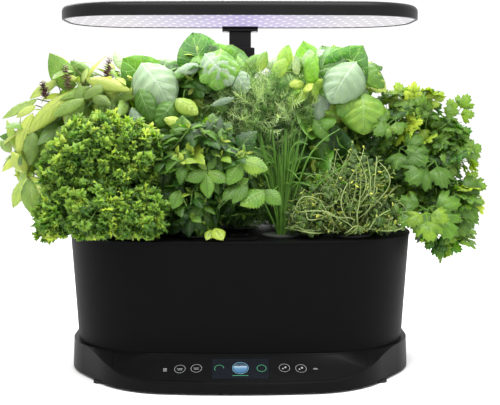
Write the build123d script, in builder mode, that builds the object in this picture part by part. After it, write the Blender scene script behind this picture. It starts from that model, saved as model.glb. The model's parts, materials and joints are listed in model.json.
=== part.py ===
from build123d import *
from math import sqrt
import os

os.makedirs("parts", exist_ok=True)

# Countertop hydroponic garden: a base with a sloped control panel, a lift-out bowl with nine
# plant pods, and a grow light on a telescoping mast. Millimetres. X runs left to right,
# Y front to back, Z up. The origin is on the table, under the middle of the base.

# Walls and clearances
wall = 2.6  # moulded shells
rib_wall = 1.8  # inner ribs and sleeves
gap = 0.3  # beside a piece that is fixed in place
slide_gap = 0.4  # round a telescoping tube
shaft_gap = 0.05  # round a turning pin or shaft
overrun = 5.0  # how far a cutting body stands past what it cuts

# Base
base_half_width = 212.0
base_depth = 287.0
base_height = 38.0
base_draft = 1.5
base_front_half = 140.0  # from the middle to a front corner of the plan
base_front_bow = 13.0  # the middle of the front stands this far ahead of the front corners
base_rear_bow = 17.0
shoulder_run = 123.0  # from the front back to where the sides run straight
base_front_radius = 110.0
shoulder_radius = 110.0
base_rear_radius = 90.0
foot_height = 2.5
foot_radius = 9.0
foot_taper = 8.0  # degrees
foot_side = 46.0  # from the side of the base in to a foot's centre
foot_front = 62.0
foot_rear = 50.0
plate_thickness = 2.5
base_screw_side = 9.8  # between the outer wall and the bowl's pocket
base_screw_front = 35.0  # behind the shoulders
base_screw_rear = 75.0  # ahead of the back
screw_radius = 1.4
screw_head_radius = 2.8
screw_head_height = 1.6
screw_length = 12.0  # into the hood
base_screw_length = 6.0  # under the head
boss_radius = 4.0

# Sloped control panel
slope_foot_z = 13.0  # height of the crease at the middle of the front
slope_run = 43.0  # plan depth of the slope at the middle
slope_foot_bow = 54.0
slope_foot_side = 38.0  # how far the slope's foot outline stands outside the base
slope_foot_radius = 105.0
slope_top_bow = 21.7
slope_top_side = 12.0
slope_top_radius = 135.0
slope_tail = 20.0  # the slope's outlines run on this far behind the base
slope_wall = 4.5  # measured square to the slope
panel_thickness = 2.0
panel_half_width = 150.0
panel_margin = 3.0  # from the crease in to the panel's edge
panel_low_z = 15.5
panel_high_z = 36.5
window_half_width = 33.0
window_low_z = 17.8
window_high_z = 34.3
display_border = 3.0
display_thickness = 4.0
display_cover = 0.8  # share of the window's length that the display fills
display_corner = 2.0
board_width = 120.0
board_depth = 34.0
board_thickness = 1.6
board_post_height = 3.0
board_post_radius = 2.6
board_post_inset = 5.2  # from the board's edges in to a post's centre
board_setback = 16.0  # from the front of the base to the board
inlet_radius = 6.0
inlet_bore = 2.85
inlet_length = 12.0
inlet_bore_length = 9.0
inlet_x = 70.0
inlet_recess = 2.8  # ahead of the furthest point of the back

# Bowl
bowl_setback = 45.0  # from the front of the base to the front of the bowl's foot
bowl_shelf = 60.0  # from the back of the bowl's foot to the back of the base
bowl_side_ledge = 8.0
bowl_front_bow = 18.0
bowl_rear_bow = 4.0
bowl_front_turn = 0.577  # the front corners' radius, as a share of the bowl's depth
bowl_rear_turn = 0.22
bowl_top_z = 169.0
bowl_flare = 8.5  # the rim stands this far outside the foot
bowl_foot_inset = 12.0  # from the bowl's side in to the ring under its floor
bowl_foot_depth = 5.0

# Deck with its fill port
deck_thickness = 2.2
deck_overhang = 1.0
deck_rib_depth = 6.0
port_width = 34.0
port_depth = 24.0
port_radius = 4.0
port_setback = 24.0  # from the front of the rim to the port's centre
lid_lap = 3.0
lid_thickness = 2.0
hinge_radius = 2.1
hinge_pin_radius = 0.95
lid_knuckle = 16.0
deck_knuckle = 3.0

# Pods
pod_edge = 44.0  # from the bowl's side to the outer back pods
pod_back_setback = 44.0
pod_front_setback = 53.5
front_inner_x = 50.0
front_outer_x = 135.0
basket_top_radius = 20.0
basket_bottom_radius = 14.0
basket_depth = 60.0
basket_wall = 1.2
basket_flange_radius = 23.5
basket_flange = 1.2
basket_slot_width = 4.0
basket_slot_height = 34.0
sponge_length = 44.0
sponge_top_drop = 3.0
stem_radius = 4.0
stem_hole_depth = 15.0
label_radius = 22.0
label_thickness = 0.4
label_hole_radius = 7.0

# Pump and float, in the bowl
pump_width = 56.0
pump_depth = 40.0
pump_height = 34.0
pump_corner = 5.0
pump_setback = 12.0  # ahead of the back pods
chamber_radius = 15.0
chamber_depth = 20.0
chamber_side = 23.0  # from the pump's outer end to the chamber's centre
impeller_radius = 13.0
impeller_hub_radius = 4.0
impeller_height = 14.0
impeller_disc = 2.0
impeller_blades = 6
blade_thickness = 1.2
blade_root = 1.0  # how far a blade reaches into the hub
pump_shaft_radius = 1.5
cover_thickness = 3.0
cover_width = 41.0
cover_corner = 4.0
intake_radius = 7.0
filter_height = 12.0
filter_inset = 3.0
filter_fillet = 2.0
riser_radius = 5.0
riser_bore = 3.6
riser_side = 8.0  # from the pump's inner end to the riser's centre
contact_radius = 9.0
contact_flange_radius = 12.0
contact_flange = 2.0
float_radius = 10.5
float_height = 18.0
float_travel = 49.0
float_clearance = 0.8
float_fillet = 2.0
guide_slot_width = 5.0
guide_slot_margin = 7.0  # from the guide's ends to its slots
guide_lip = 2.5
guide_lip_height = 2.0

# Telescoping mast
mast_width = 29.0  # upper tube
mast_depth = 16.4
tube_wall = 2.0
tube_corner = 4.0
mast_rear_gap = 35.5  # from the back of the base to the mast's centre
lower_tube_top = 388.0
middle_tube_low = 30.0
middle_tube_top = 400.0
upper_tube_low = 44.0
glide_height = 4.0
glide_gap = 0.2
lower_collar_height = 22.0
collar_lip = 4.0
collar_wall = 2.0
middle_collar_gap = 0.3
lead_radius = 4.0
lead_hole_gap = 1.0
button_radius = 4.2
button_length = 8.0
button_travel = 2.5
button_gap = 0.2
button_fillet = 1.0
housing_half_width = 8.0
housing_height = 10.0
housing_drop = 1.0  # under the collar's top
housing_depth = 10.0
button_pocket_depth = 9.5

# Hood
hood_half_width = 216.0
hood_front = 98.0  # ahead of the origin
hood_rear = 118.0  # behind the origin
hood_bow = 12.0
hood_radius = 82.0
hood_low_z = 430.5
hood_height = 16.5
hood_top_fillet = 7.0
hood_edge_fillet = 1.2
hood_rim = 3.0
lens_step = 5.0  # the lens seats under a step this wide
lens_recess = 1.0
lens_thickness = 2.5
hood_roof = 3.5
led_board_inset = 12.0
led_board_thickness = 1.6
led_size = 4.6
led_height = 1.0
led_columns = 26
led_rows = 5
led_pitch_x = 14.6
led_pitch_y = 31.0
led_stagger = 0.25  # of a pitch, one row against the next
clamp_width = 47.4
clamp_depth = 27.0
clamp_height = 5.2
clamp_fillet = 1.0
clamp_screw_x = 19.5
clamp_screw_y = 7.0

# Plants
plant_reach = 300.0  # half the overall width
crown_gap = 0.5
row_split_y = 2.0  # between the front and the back crowns
crown_low_gap = 1.5  # over the pods
lid_swing_height = 42.0
back_splits = (-1.5, -0.125, 0.775, 1.9)  # where the back crowns part, in pod pitches
front_splits = (-90.0, 26.0, 78.0)  # where the front crowns part
parsley_left = 184.0  # right of here the flat parsley hangs forward past the front row

# Derived places
front_y = -base_depth / 2
rear_y = base_depth / 2
plate_top_z = foot_height + plate_thickness
bowl_front_y = front_y + bowl_setback
bowl_rear_y = rear_y - bowl_shelf
bowl_half_width = base_half_width - bowl_side_ledge
bowl_front_radius = bowl_front_turn * (bowl_rear_y - bowl_front_y)
bowl_rear_radius = bowl_rear_turn * (bowl_rear_y - bowl_front_y)
bowl_low_z = base_height - bowl_foot_depth
bowl_floor_z = base_height + wall
pocket_floor_z = bowl_low_z - gap
rim_front_y = bowl_front_y - bowl_flare
deck_top_z = bowl_top_z + deck_thickness
slope_tilt = sqrt(slope_run**2 + (base_height - slope_foot_z) ** 2) / (base_height - slope_foot_z)
port_y = rim_front_y + port_setback + wall
hinge_y = port_y + port_depth / 2 + lid_lap + hinge_radius
hinge_z = deck_top_z + gap + hinge_radius
mast_y = rear_y - mast_rear_gap
middle_width = mast_width + 2 * (tube_wall + slide_gap)
middle_depth = mast_depth + 2 * (tube_wall + slide_gap)
lower_width = middle_width + 2 * (tube_wall + slide_gap)
lower_depth = middle_depth + 2 * (tube_wall + slide_gap)
lower_collar_top = lower_tube_top + collar_lip
hood_top_z = hood_low_z + hood_height
hood_roof_z = hood_top_z - hood_roof
lens_low_z = hood_low_z + lens_recess
lens_top_z = lens_low_z + lens_thickness
pod_pitch = (bowl_half_width - pod_edge) / 2
back_pod_y = bowl_rear_y - pod_back_setback
front_pod_y = bowl_front_y + pod_front_setback
back_pods = [(column * pod_pitch, back_pod_y) for column in (-2, -1, 0, 1, 2)]
front_pods = [(x, front_pod_y) for x in (-front_outer_x, -front_inner_x, front_inner_x, front_outer_x)]
pods = back_pods + front_pods
sponge_top_z = deck_top_z - sponge_top_drop
label_z = deck_top_z + basket_flange
crown_low_z = label_z + label_thickness + crown_low_gap
crown_high_z = hood_low_z - clamp_height - crown_gap


def corners_at(sketch, corner):
    """The sketch's vertices at a plan corner and at its mirror image."""
    return sketch.vertices().filter_by(
        lambda v: abs(abs(v.X) - corner[0]) < 0.01 and abs(v.Y - corner[1]) < 0.01
    )


def base_plan(inset=0.0):
    """Plan of the base: bowed front, cut-back shoulders and rounded rear corners."""
    front_corner = (base_front_half, front_y + base_front_bow)
    shoulder = (base_half_width, front_y + shoulder_run)
    rear_corner = (base_half_width, rear_y - base_rear_bow)
    left_front, left_shoulder, left_rear = [(-x, y) for x, y in (front_corner, shoulder, rear_corner)]
    with BuildSketch() as plan:
        with BuildLine():
            ThreePointArc(left_front, (0, front_y), front_corner)
            Polyline(front_corner, shoulder, rear_corner)
            ThreePointArc(rear_corner, (0, rear_y), left_rear)
            Polyline(left_rear, left_shoulder, left_front)
        make_face()
        fillet(corners_at(plan, front_corner), base_front_radius)
        fillet(corners_at(plan, shoulder), shoulder_radius)
        fillet(corners_at(plan, rear_corner), base_rear_radius)
        if inset:
            offset(amount=-inset)
    return plan.sketch


def bowed_plan(half_width, front, rear, front_bow, rear_bow, front_radius, rear_radius, inset=0.0):
    """Plan with straight sides, a bowed front and back, and rounded corners."""
    front_corner = (half_width, front + front_bow)
    rear_corner = (half_width, rear - rear_bow)
    with BuildSketch() as plan:
        with BuildLine():
            ThreePointArc((-half_width, front + front_bow), (0, front), front_corner)
            Line(front_corner, rear_corner)
            ThreePointArc(rear_corner, (0, rear), (-half_width, rear - rear_bow))
            Line((-half_width, rear - rear_bow), (-half_width, front + front_bow))
        make_face()
        fillet(corners_at(plan, front_corner), front_radius)
        fillet(corners_at(plan, rear_corner), rear_radius)
        if inset:
            offset(amount=-inset)
    return plan.sketch


def bowl_plan(inset=0.0):
    """Plan of the bowl's foot, moved in by inset."""
    return bowed_plan(
        bowl_half_width, bowl_front_y, bowl_rear_y, bowl_front_bow, bowl_rear_bow,
        bowl_front_radius, bowl_rear_radius, inset,
    )


def hood_plan(inset=0.0):
    """Plan of the hood, moved in by inset."""
    return bowed_plan(
        hood_half_width, -hood_front, hood_rear, hood_bow, hood_bow, hood_radius, hood_radius, inset
    )


def tube_plan(width, depth, corner=tube_corner):
    """Rounded rectangle about the mast's axis."""
    with BuildSketch() as plan:
        with Locations((0, mast_y)):
            RectangleRounded(width, depth, corner)
    return plan.sketch


def prism(plan, low_z, high_z):
    """Upright solid on a level plan."""
    with BuildPart() as body:
        with BuildSketch(Plane.XY.offset(low_z)):
            add(plan)
        extrude(amount=high_z - low_z)
    return body.part


def tapered(low_plan, low_z, high_plan, high_z):
    """Straight-sided solid between two level plans."""
    with BuildPart() as body:
        with BuildSketch(Plane.XY.offset(low_z)):
            add(low_plan)
        with BuildSketch(Plane.XY.offset(high_z)):
            add(high_plan)
        loft(ruled=True)
    return body.part


def block(low, high):
    """Box between two corners."""
    with BuildPart(Plane(low)) as body:
        Box(*[b - a for a, b in zip(low, high)], align=Align.MIN)
    return body.part


def below_slope(depth=0.0):
    """Everything under a surface that lies depth behind the sloped front, square to it."""
    shift = depth * slope_tilt
    foot = bowed_plan(
        base_half_width + slope_foot_side, front_y + shift, rear_y + slope_tail + shift,
        slope_foot_bow, base_rear_bow, slope_foot_radius, base_rear_radius,
    )
    top = bowed_plan(
        base_half_width + slope_top_side, front_y + slope_run + shift, rear_y + slope_tail + shift,
        slope_top_bow, base_rear_bow, slope_top_radius, base_rear_radius,
    )
    return tapered(foot, slope_foot_z, top, base_height)


def above_slope(depth=0.0):
    """Everything over that surface, up to the top of the base."""
    side = base_half_width + overrun
    with BuildPart() as body:
        add(block((-side, front_y - overrun, slope_foot_z), (side, rear_y + overrun, base_height)))
        add(below_slope(depth), mode=Mode.SUBTRACT)
    return body.part


def slope_sheet(near, far, half_width, low_z, high_z, margin):
    """Piece of the slope between two depths, cut to a width, a height and the plan of the base."""
    with BuildPart() as body:
        add(below_slope(near))
        add(below_slope(far), mode=Mode.SUBTRACT)
        add(block((-half_width, front_y, low_z), (half_width, 0, high_z)), mode=Mode.INTERSECT)
        if margin:
            add(prism(base_plan(margin + base_draft), 0, base_height), mode=Mode.INTERSECT)
    return body.part


def keep(body, name):
    """Label a finished piece and write it."""
    body.part.label = name
    export_step(body.part, f"parts/{name}.step")


# Base

foot_places = [
    (side * (base_half_width - foot_side), y)
    for side in (-1, 1)
    for y in (front_y + foot_front, rear_y - foot_rear)
]
side_screws = [
    (side * (base_half_width - base_screw_side), y)
    for side in (-1, 1)
    for y in (front_y + shoulder_run + base_screw_front, rear_y - base_screw_rear)
]
front_screws = [(side * base_front_half / 2, front_y + base_front_bow) for side in (-1, 1)]
base_screw_places = side_screws + front_screws

with BuildPart() as base_shell:
    add(tapered(base_plan(), foot_height, base_plan(base_draft), base_height))
    add(above_slope(), mode=Mode.SUBTRACT)
    with BuildPart(mode=Mode.SUBTRACT):
        add(tapered(base_plan(wall), foot_height, base_plan(base_draft + wall), base_height - wall))
        add(above_slope(slope_wall), mode=Mode.SUBTRACT)
    # Shallow pocket for the ring under the bowl
    add(prism(bowl_plan(bowl_foot_inset - gap - wall), pocket_floor_z - wall, base_height))
    add(prism(bowl_plan(bowl_foot_inset - gap), pocket_floor_z, base_height), mode=Mode.SUBTRACT)
    # Socket for the mast, open below
    add(prism(tube_plan(lower_width + 2 * (gap + wall), lower_depth + 2 * (gap + wall)),
              plate_top_z + gap, base_height))
    add(prism(tube_plan(lower_width + 2 * gap, lower_depth + 2 * gap), 0, base_height),
        mode=Mode.SUBTRACT)
    # Screw bosses stand on the bottom plate
    with BuildSketch(Plane.XY.offset(plate_top_z)):
        with Locations(*side_screws):
            Circle(boss_radius)
    extrude(amount=base_height - wall - plate_top_z)
    with BuildSketch(Plane.XY.offset(plate_top_z)):
        with Locations(*front_screws):
            Circle(boss_radius)
    extrude(amount=slope_foot_z - plate_top_z)
    with BuildSketch(Plane.XY.offset(plate_top_z)):
        with Locations(*base_screw_places):
            Circle(screw_radius + shaft_gap)
    extrude(amount=base_screw_length, mode=Mode.SUBTRACT)
    # Seat for the control panel, with an opening for the display
    add(slope_sheet(0, panel_thickness + gap, panel_half_width + gap, panel_low_z - gap,
                    panel_high_z + gap, panel_margin - gap), mode=Mode.SUBTRACT)
    add(slope_sheet(0, slope_wall + overrun, window_half_width - display_border,
                    window_low_z + display_border, window_high_z - display_border, 0),
        mode=Mode.SUBTRACT)
    # Holes for the power inlet and for the contact block
    with BuildSketch(Plane.XZ.offset(-rear_y)):
        with Locations((inlet_x, base_height / 2)):
            Circle(inlet_radius + gap)
    extrude(amount=inlet_length, mode=Mode.SUBTRACT)
    with BuildSketch(Plane.XY.offset(pocket_floor_z)):
        Circle(contact_radius + gap)
    extrude(amount=-2 * wall, mode=Mode.SUBTRACT)
keep(base_shell, "base_shell")

with BuildPart() as base_bottom_plate:
    add(prism(base_plan(wall + gap), foot_height, plate_top_z))
    with BuildSketch(Plane.XY.offset(foot_height)):
        with Locations(*base_screw_places):
            Circle(screw_radius + shaft_gap)
    extrude(amount=plate_thickness, mode=Mode.SUBTRACT)
    with BuildSketch(Plane.XY.offset(foot_height)):
        with Locations(*base_screw_places):
            Circle(screw_head_radius + gap)
    extrude(amount=screw_head_height, mode=Mode.SUBTRACT)
    with BuildSketch(Plane.XY.offset(plate_top_z)):
        with Locations((0, front_y + board_setback + board_depth / 2)):
            with GridLocations(board_width - 2 * board_post_inset, board_depth - 2 * board_post_inset, 2, 2):
                Circle(board_post_radius)
    extrude(amount=board_post_height)
keep(base_bottom_plate, "base_bottom_plate")

with BuildPart() as base_feet:
    with BuildSketch():
        with Locations(*foot_places):
            Circle(foot_radius)
    extrude(amount=foot_height, taper=foot_taper)
keep(base_feet, "base_feet")

with BuildPart() as base_screws:
    with BuildSketch(Plane.XY.offset(foot_height)):
        with Locations(*base_screw_places):
            Circle(screw_head_radius)
    extrude(amount=screw_head_height)
    with BuildSketch(Plane.XY.offset(foot_height + screw_head_height)):
        with Locations(*base_screw_places):
            Circle(screw_radius)
    extrude(amount=base_screw_length)
keep(base_screws, "base_screws")

with BuildPart() as control_panel:
    add(slope_sheet(0, panel_thickness, panel_half_width, panel_low_z, panel_high_z, panel_margin))
    add(slope_sheet(0, slope_wall, window_half_width + gap, window_low_z - gap, window_high_z + gap, 0),
        mode=Mode.SUBTRACT)
keep(control_panel, "control_panel")

with BuildPart() as display_window:
    add(slope_sheet(0, panel_thickness, window_half_width, window_low_z, window_high_z, 0))
keep(display_window, "display_window")

slope_middle_z = (window_low_z + window_high_z) / 2
slope_middle_y = front_y + slope_run * (slope_middle_z - slope_foot_z) / (base_height - slope_foot_z)
slope_plane = Plane(
    origin=(0, slope_middle_y, slope_middle_z),
    x_dir=(1, 0, 0),
    z_dir=(0, slope_foot_z - base_height, slope_run),
)

display_length = display_cover * slope_tilt * (window_high_z - window_low_z)

with BuildPart() as display_module:
    with BuildSketch(slope_plane.offset(-slope_wall - 3 * gap)):
        RectangleRounded(2 * window_half_width, display_length, display_corner)
    extrude(amount=-display_thickness)
keep(display_module, "display_module")

with BuildPart() as control_board:
    with BuildSketch(Plane.XY.offset(plate_top_z + board_post_height)):
        with Locations((0, front_y + board_setback + board_depth / 2)):
            Rectangle(board_width, board_depth)
    extrude(amount=board_thickness)
keep(control_board, "control_board")

with BuildPart() as power_inlet:
    with BuildSketch(Plane.XZ.offset(inlet_recess - rear_y)):
        with Locations((inlet_x, base_height / 2)):
            Circle(inlet_radius)
    extrude(amount=inlet_length)
    with BuildSketch(Plane.XZ.offset(inlet_recess - rear_y)):
        with Locations((inlet_x, base_height / 2)):
            Circle(inlet_bore)
    extrude(amount=inlet_bore_length, mode=Mode.SUBTRACT)
keep(power_inlet, "power_inlet")

with BuildPart() as pump_contact:
    with BuildSketch(Plane.XY.offset(pocket_floor_z - wall)):
        Circle(contact_flange_radius)
    extrude(amount=-contact_flange)
    with BuildSketch(Plane.XY.offset(base_height)):
        Circle(contact_radius)
    extrude(amount=pocket_floor_z - wall - base_height)
keep(pump_contact, "pump_contact")

# Bowl and deck

with BuildPart() as whole_bowl:
    add(tapered(bowl_plan(), base_height, bowl_plan(-bowl_flare), bowl_top_z))
    add(tapered(bowl_plan(wall), bowl_floor_z, bowl_plan(wall - bowl_flare), bowl_top_z),
        mode=Mode.SUBTRACT)
    # Ring under the floor, which drops into the base's pocket
    add(prism(bowl_plan(bowl_foot_inset), bowl_low_z, base_height))
    add(prism(bowl_plan(bowl_foot_inset + rib_wall), bowl_low_z, base_height), mode=Mode.SUBTRACT)

# The wall is welded onto a separate floor
with BuildPart() as grow_bowl:
    add(whole_bowl.part)
    split(bisect_by=Plane.XY.offset(bowl_floor_z), keep=Keep.TOP)
keep(grow_bowl, "grow_bowl")

with BuildPart() as bowl_floor:
    add(whole_bowl.part)
    split(bisect_by=Plane.XY.offset(bowl_floor_z), keep=Keep.BOTTOM)
keep(bowl_floor, "bowl_floor")

with BuildPart() as grow_deck:
    add(prism(bowl_plan(-bowl_flare - deck_overhang), bowl_top_z, deck_top_z))
    deck_edge = grow_deck.edges().group_by(Axis.Z)[-1]
    fillet(deck_edge, deck_thickness / 3)
    # Rib that centres the deck inside the rim
    rib_inset = wall + gap + 2 * deck_overhang - bowl_flare
    add(prism(bowl_plan(rib_inset), bowl_top_z - deck_rib_depth, bowl_top_z))
    add(prism(bowl_plan(rib_inset + rib_wall), bowl_top_z - deck_rib_depth, bowl_top_z), mode=Mode.SUBTRACT)
    with BuildSketch(Plane.XY.offset(bowl_top_z)):
        with Locations(*pods):
            Circle(basket_top_radius + gap)
        with Locations((0, port_y)):
            RectangleRounded(port_width, port_depth, port_radius)
    extrude(amount=deck_thickness, mode=Mode.SUBTRACT)
    # Two ears for the lid's hinge pin
    ear_x = lid_knuckle / 2 + gap
    with BuildSketch(Plane.YZ.offset(ear_x)):
        with Locations((hinge_y, hinge_z)):
            Circle(hinge_radius)
        with Locations((hinge_y, hinge_z - hinge_radius)):
            Rectangle(2 * hinge_radius, 2 * hinge_radius)
    extrude(amount=deck_knuckle)
    with BuildSketch(Plane.YZ.offset(-ear_x)):
        with Locations((hinge_y, hinge_z)):
            Circle(hinge_radius)
        with Locations((hinge_y, hinge_z - hinge_radius)):
            Rectangle(2 * hinge_radius, 2 * hinge_radius)
    extrude(amount=-deck_knuckle)
    with BuildSketch(Plane.YZ.offset(-ear_x - deck_knuckle)):
        with Locations((hinge_y, hinge_z)):
            Circle(hinge_pin_radius + shaft_gap)
    extrude(amount=2 * (ear_x + deck_knuckle), mode=Mode.SUBTRACT)
keep(grow_deck, "grow_deck")

with BuildPart() as lid_hinge_pin:
    with BuildSketch(Plane.YZ.offset(-ear_x - deck_knuckle)):
        with Locations((hinge_y, hinge_z)):
            Circle(hinge_pin_radius)
    extrude(amount=2 * (ear_x + deck_knuckle))
keep(lid_hinge_pin, "lid_hinge_pin")

lid_low_z = deck_top_z + gap
lid_half_width = port_width / 2 + lid_lap
lid_rear_y = hinge_y - hinge_radius - gap
lid_front_y = port_y - port_depth / 2 - lid_lap

with BuildPart() as fill_port_lid:
    with BuildSketch(Plane.XY.offset(lid_low_z)):
        with Locations((0, (lid_front_y + lid_rear_y) / 2)):
            RectangleRounded(2 * lid_half_width, lid_rear_y - lid_front_y, port_radius)
    extrude(amount=lid_thickness)
    fillet(fill_port_lid.edges().group_by(Axis.Z)[-1], lid_thickness / 4)
    with BuildSketch(Plane.XY.offset(lid_low_z)):
        with Locations((0, (hinge_y + lid_rear_y) / 2 - hinge_radius / 2)):
            Rectangle(lid_knuckle, hinge_y - lid_rear_y + hinge_radius)
    extrude(amount=lid_thickness)
    with BuildSketch(Plane.YZ.offset(-lid_knuckle / 2)):
        with Locations((hinge_y, hinge_z)):
            Circle(hinge_radius)
    extrude(amount=lid_knuckle)
    with BuildSketch(Plane.YZ.offset(-lid_knuckle / 2)):
        with Locations((hinge_y, hinge_z)):
            Circle(hinge_pin_radius + shaft_gap)
    extrude(amount=lid_knuckle, mode=Mode.SUBTRACT)
keep(fill_port_lid, "fill_port_lid")

# Pods

for number, (pod_x, pod_y) in enumerate(pods, start=1):
    with BuildPart(Plane((pod_x, pod_y, deck_top_z))) as grow_basket:
        Cylinder(basket_flange_radius, basket_flange, align=(Align.CENTER, Align.CENTER, Align.MIN))
        Cone(basket_bottom_radius, basket_top_radius, basket_depth,
             align=(Align.CENTER, Align.CENTER, Align.MAX))
        Cone(basket_bottom_radius - basket_wall, basket_top_radius - basket_wall, basket_depth,
             align=(Align.CENTER, Align.CENTER, Align.MAX), mode=Mode.SUBTRACT)
        Cylinder(basket_top_radius - basket_wall, basket_flange,
                 align=(Align.CENTER, Align.CENTER, Align.MIN), mode=Mode.SUBTRACT)
        for turn in (0, 90):
            with Locations(Location((0, 0, -basket_depth / 2), (0, 0, turn))):
                Box(2 * basket_top_radius, basket_slot_width, basket_slot_height, mode=Mode.SUBTRACT)
    keep(grow_basket, f"grow_basket_{number}")

basket_taper = (basket_top_radius - basket_bottom_radius) / basket_depth
sponge_top_radius = basket_top_radius - basket_wall - gap - basket_taper * sponge_top_drop
sponge_bottom_radius = sponge_top_radius - basket_taper * sponge_length

with BuildPart() as grow_sponges:
    with Locations(*[(x, y, sponge_top_z) for x, y in pods]):
        Cone(sponge_bottom_radius, sponge_top_radius, sponge_length,
             align=(Align.CENTER, Align.CENTER, Align.MAX))
        Cylinder(stem_radius + gap, stem_hole_depth,
                 align=(Align.CENTER, Align.CENTER, Align.MAX), mode=Mode.SUBTRACT)
keep(grow_sponges, "grow_sponges")

with BuildPart() as pod_labels:
    with BuildSketch(Plane.XY.offset(label_z)):
        with Locations(*pods):
            Circle(label_radius)
            Circle(label_hole_radius, mode=Mode.SUBTRACT)
    extrude(amount=label_thickness)
keep(pod_labels, "pod_labels")

# Pump and float

riser_x = (back_pods[0][0] + back_pods[1][0]) / 2
pump_x = riser_x + riser_side - pump_width / 2
pump_y = back_pod_y - pump_setback
pump_top_z = bowl_floor_z + pump_height
chamber_x = pump_x - pump_width / 2 + chamber_side
chamber_floor_z = pump_top_z - chamber_depth
impeller_low_z = chamber_floor_z + gap

with BuildPart() as pump_housing:
    with BuildSketch(Plane.XY.offset(bowl_floor_z)):
        with Locations((pump_x, pump_y)):
            RectangleRounded(pump_width, pump_depth, pump_corner)
    extrude(amount=pump_height)
    with BuildSketch(Plane.XY.offset(chamber_floor_z)):
        with Locations((chamber_x, pump_y)):
            Circle(chamber_radius)
    extrude(amount=chamber_depth, mode=Mode.SUBTRACT)
    with BuildSketch(Plane.XY.offset(chamber_floor_z)):
        with Locations((chamber_x, pump_y)):
            Circle(pump_shaft_radius)
    extrude(amount=chamber_depth - gap)
    # Outlet duct across to the foot of the riser
    with BuildSketch(Plane.YZ.offset(chamber_x + chamber_radius / 2)):
        with Locations((pump_y, chamber_floor_z + riser_bore)):
            Circle(riser_bore)
    extrude(amount=riser_x - chamber_x - chamber_radius / 2, mode=Mode.SUBTRACT)
    with BuildSketch(Plane.XY.offset(chamber_floor_z + riser_bore)):
        with Locations((riser_x, pump_y)):
            Circle(riser_bore)
    extrude(amount=chamber_depth, mode=Mode.SUBTRACT)
keep(pump_housing, "pump_housing")

cover_x = pump_x - pump_width / 2 + cover_width / 2

with BuildPart() as pump_cover:
    with BuildSketch(Plane.XY.offset(pump_top_z)):
        with Locations((cover_x, pump_y)):
            RectangleRounded(cover_width, pump_depth, cover_corner)
        with Locations((chamber_x, pump_y)):
            Circle(intake_radius, mode=Mode.SUBTRACT)
    extrude(amount=cover_thickness)
keep(pump_cover, "pump_cover")

with BuildPart() as pump_filter:
    with BuildSketch(Plane.XY.offset(pump_top_z + cover_thickness)):
        with Locations((cover_x, pump_y)):
            RectangleRounded(cover_width - filter_inset, pump_depth - filter_inset, cover_corner)
    extrude(amount=filter_height)
    fillet(pump_filter.edges().group_by(Axis.Z)[-1], filter_fillet)
keep(pump_filter, "pump_filter")

with BuildPart() as pump_riser:
    with BuildSketch(Plane.XY.offset(pump_top_z)):
        with Locations((riser_x, pump_y)):
            Circle(riser_radius)
            Circle(riser_bore, mode=Mode.SUBTRACT)
    extrude(amount=bowl_top_z - pump_top_z)
keep(pump_riser, "pump_riser")

with BuildPart() as pump_impeller:
    with BuildSketch(Plane.XY.offset(impeller_low_z)):
        with Locations((chamber_x, pump_y)):
            Circle(impeller_radius)
    extrude(amount=impeller_disc)
    with BuildSketch(Plane.XY.offset(impeller_low_z)):
        with Locations((chamber_x, pump_y)):
            Circle(impeller_hub_radius)
            with PolarLocations((impeller_hub_radius + impeller_radius) / 2 - blade_root, impeller_blades):
                Rectangle(impeller_radius - impeller_hub_radius, blade_thickness)
    extrude(amount=impeller_height)
    with BuildSketch(Plane.XY.offset(impeller_low_z)):
        with Locations((chamber_x, pump_y)):
            Circle(pump_shaft_radius + shaft_gap)
    extrude(amount=impeller_height, mode=Mode.SUBTRACT)
keep(pump_impeller, "pump_impeller")

float_x = (back_pods[3][0] + back_pods[4][0]) / 2
float_low_z = bowl_floor_z + gap
guide_bore = float_radius + float_clearance
guide_top_z = float_low_z + float_height + float_travel + gap + guide_lip_height

with BuildPart() as float_guide:
    with BuildSketch(Plane.XY.offset(bowl_floor_z)):
        with Locations((float_x, back_pod_y)):
            Circle(guide_bore + rib_wall)
            Circle(guide_bore, mode=Mode.SUBTRACT)
    extrude(amount=guide_top_z - bowl_floor_z)
    with BuildSketch(Plane.XY.offset(guide_top_z)):
        with Locations((float_x, back_pod_y)):
            Circle(guide_bore + rib_wall)
            Circle(guide_bore - guide_lip, mode=Mode.SUBTRACT)
    extrude(amount=-guide_lip_height)
    with BuildSketch(Plane.XY.offset(bowl_floor_z + guide_slot_margin)):
        with Locations((float_x, back_pod_y)):
            Rectangle(4 * guide_bore, guide_slot_width)
            Rectangle(guide_slot_width, 4 * guide_bore)
    extrude(amount=guide_top_z - bowl_floor_z - 2 * guide_slot_margin, mode=Mode.SUBTRACT)
keep(float_guide, "float_guide")

with BuildPart() as water_float:
    with BuildSketch(Plane.XY.offset(float_low_z)):
        with Locations((float_x, back_pod_y)):
            Circle(float_radius)
    extrude(amount=float_height)
    fillet(water_float.edges(), float_fillet)
keep(water_float, "water_float")

# Mast

with BuildPart() as mast_lower_tube:
    add(prism(tube_plan(lower_width, lower_depth), plate_top_z, lower_tube_top))
    add(prism(tube_plan(lower_width - 2 * tube_wall, lower_depth - 2 * tube_wall, tube_corner / 2),
              plate_top_z, lower_tube_top), mode=Mode.SUBTRACT)
keep(mast_lower_tube, "mast_lower_tube")


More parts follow.
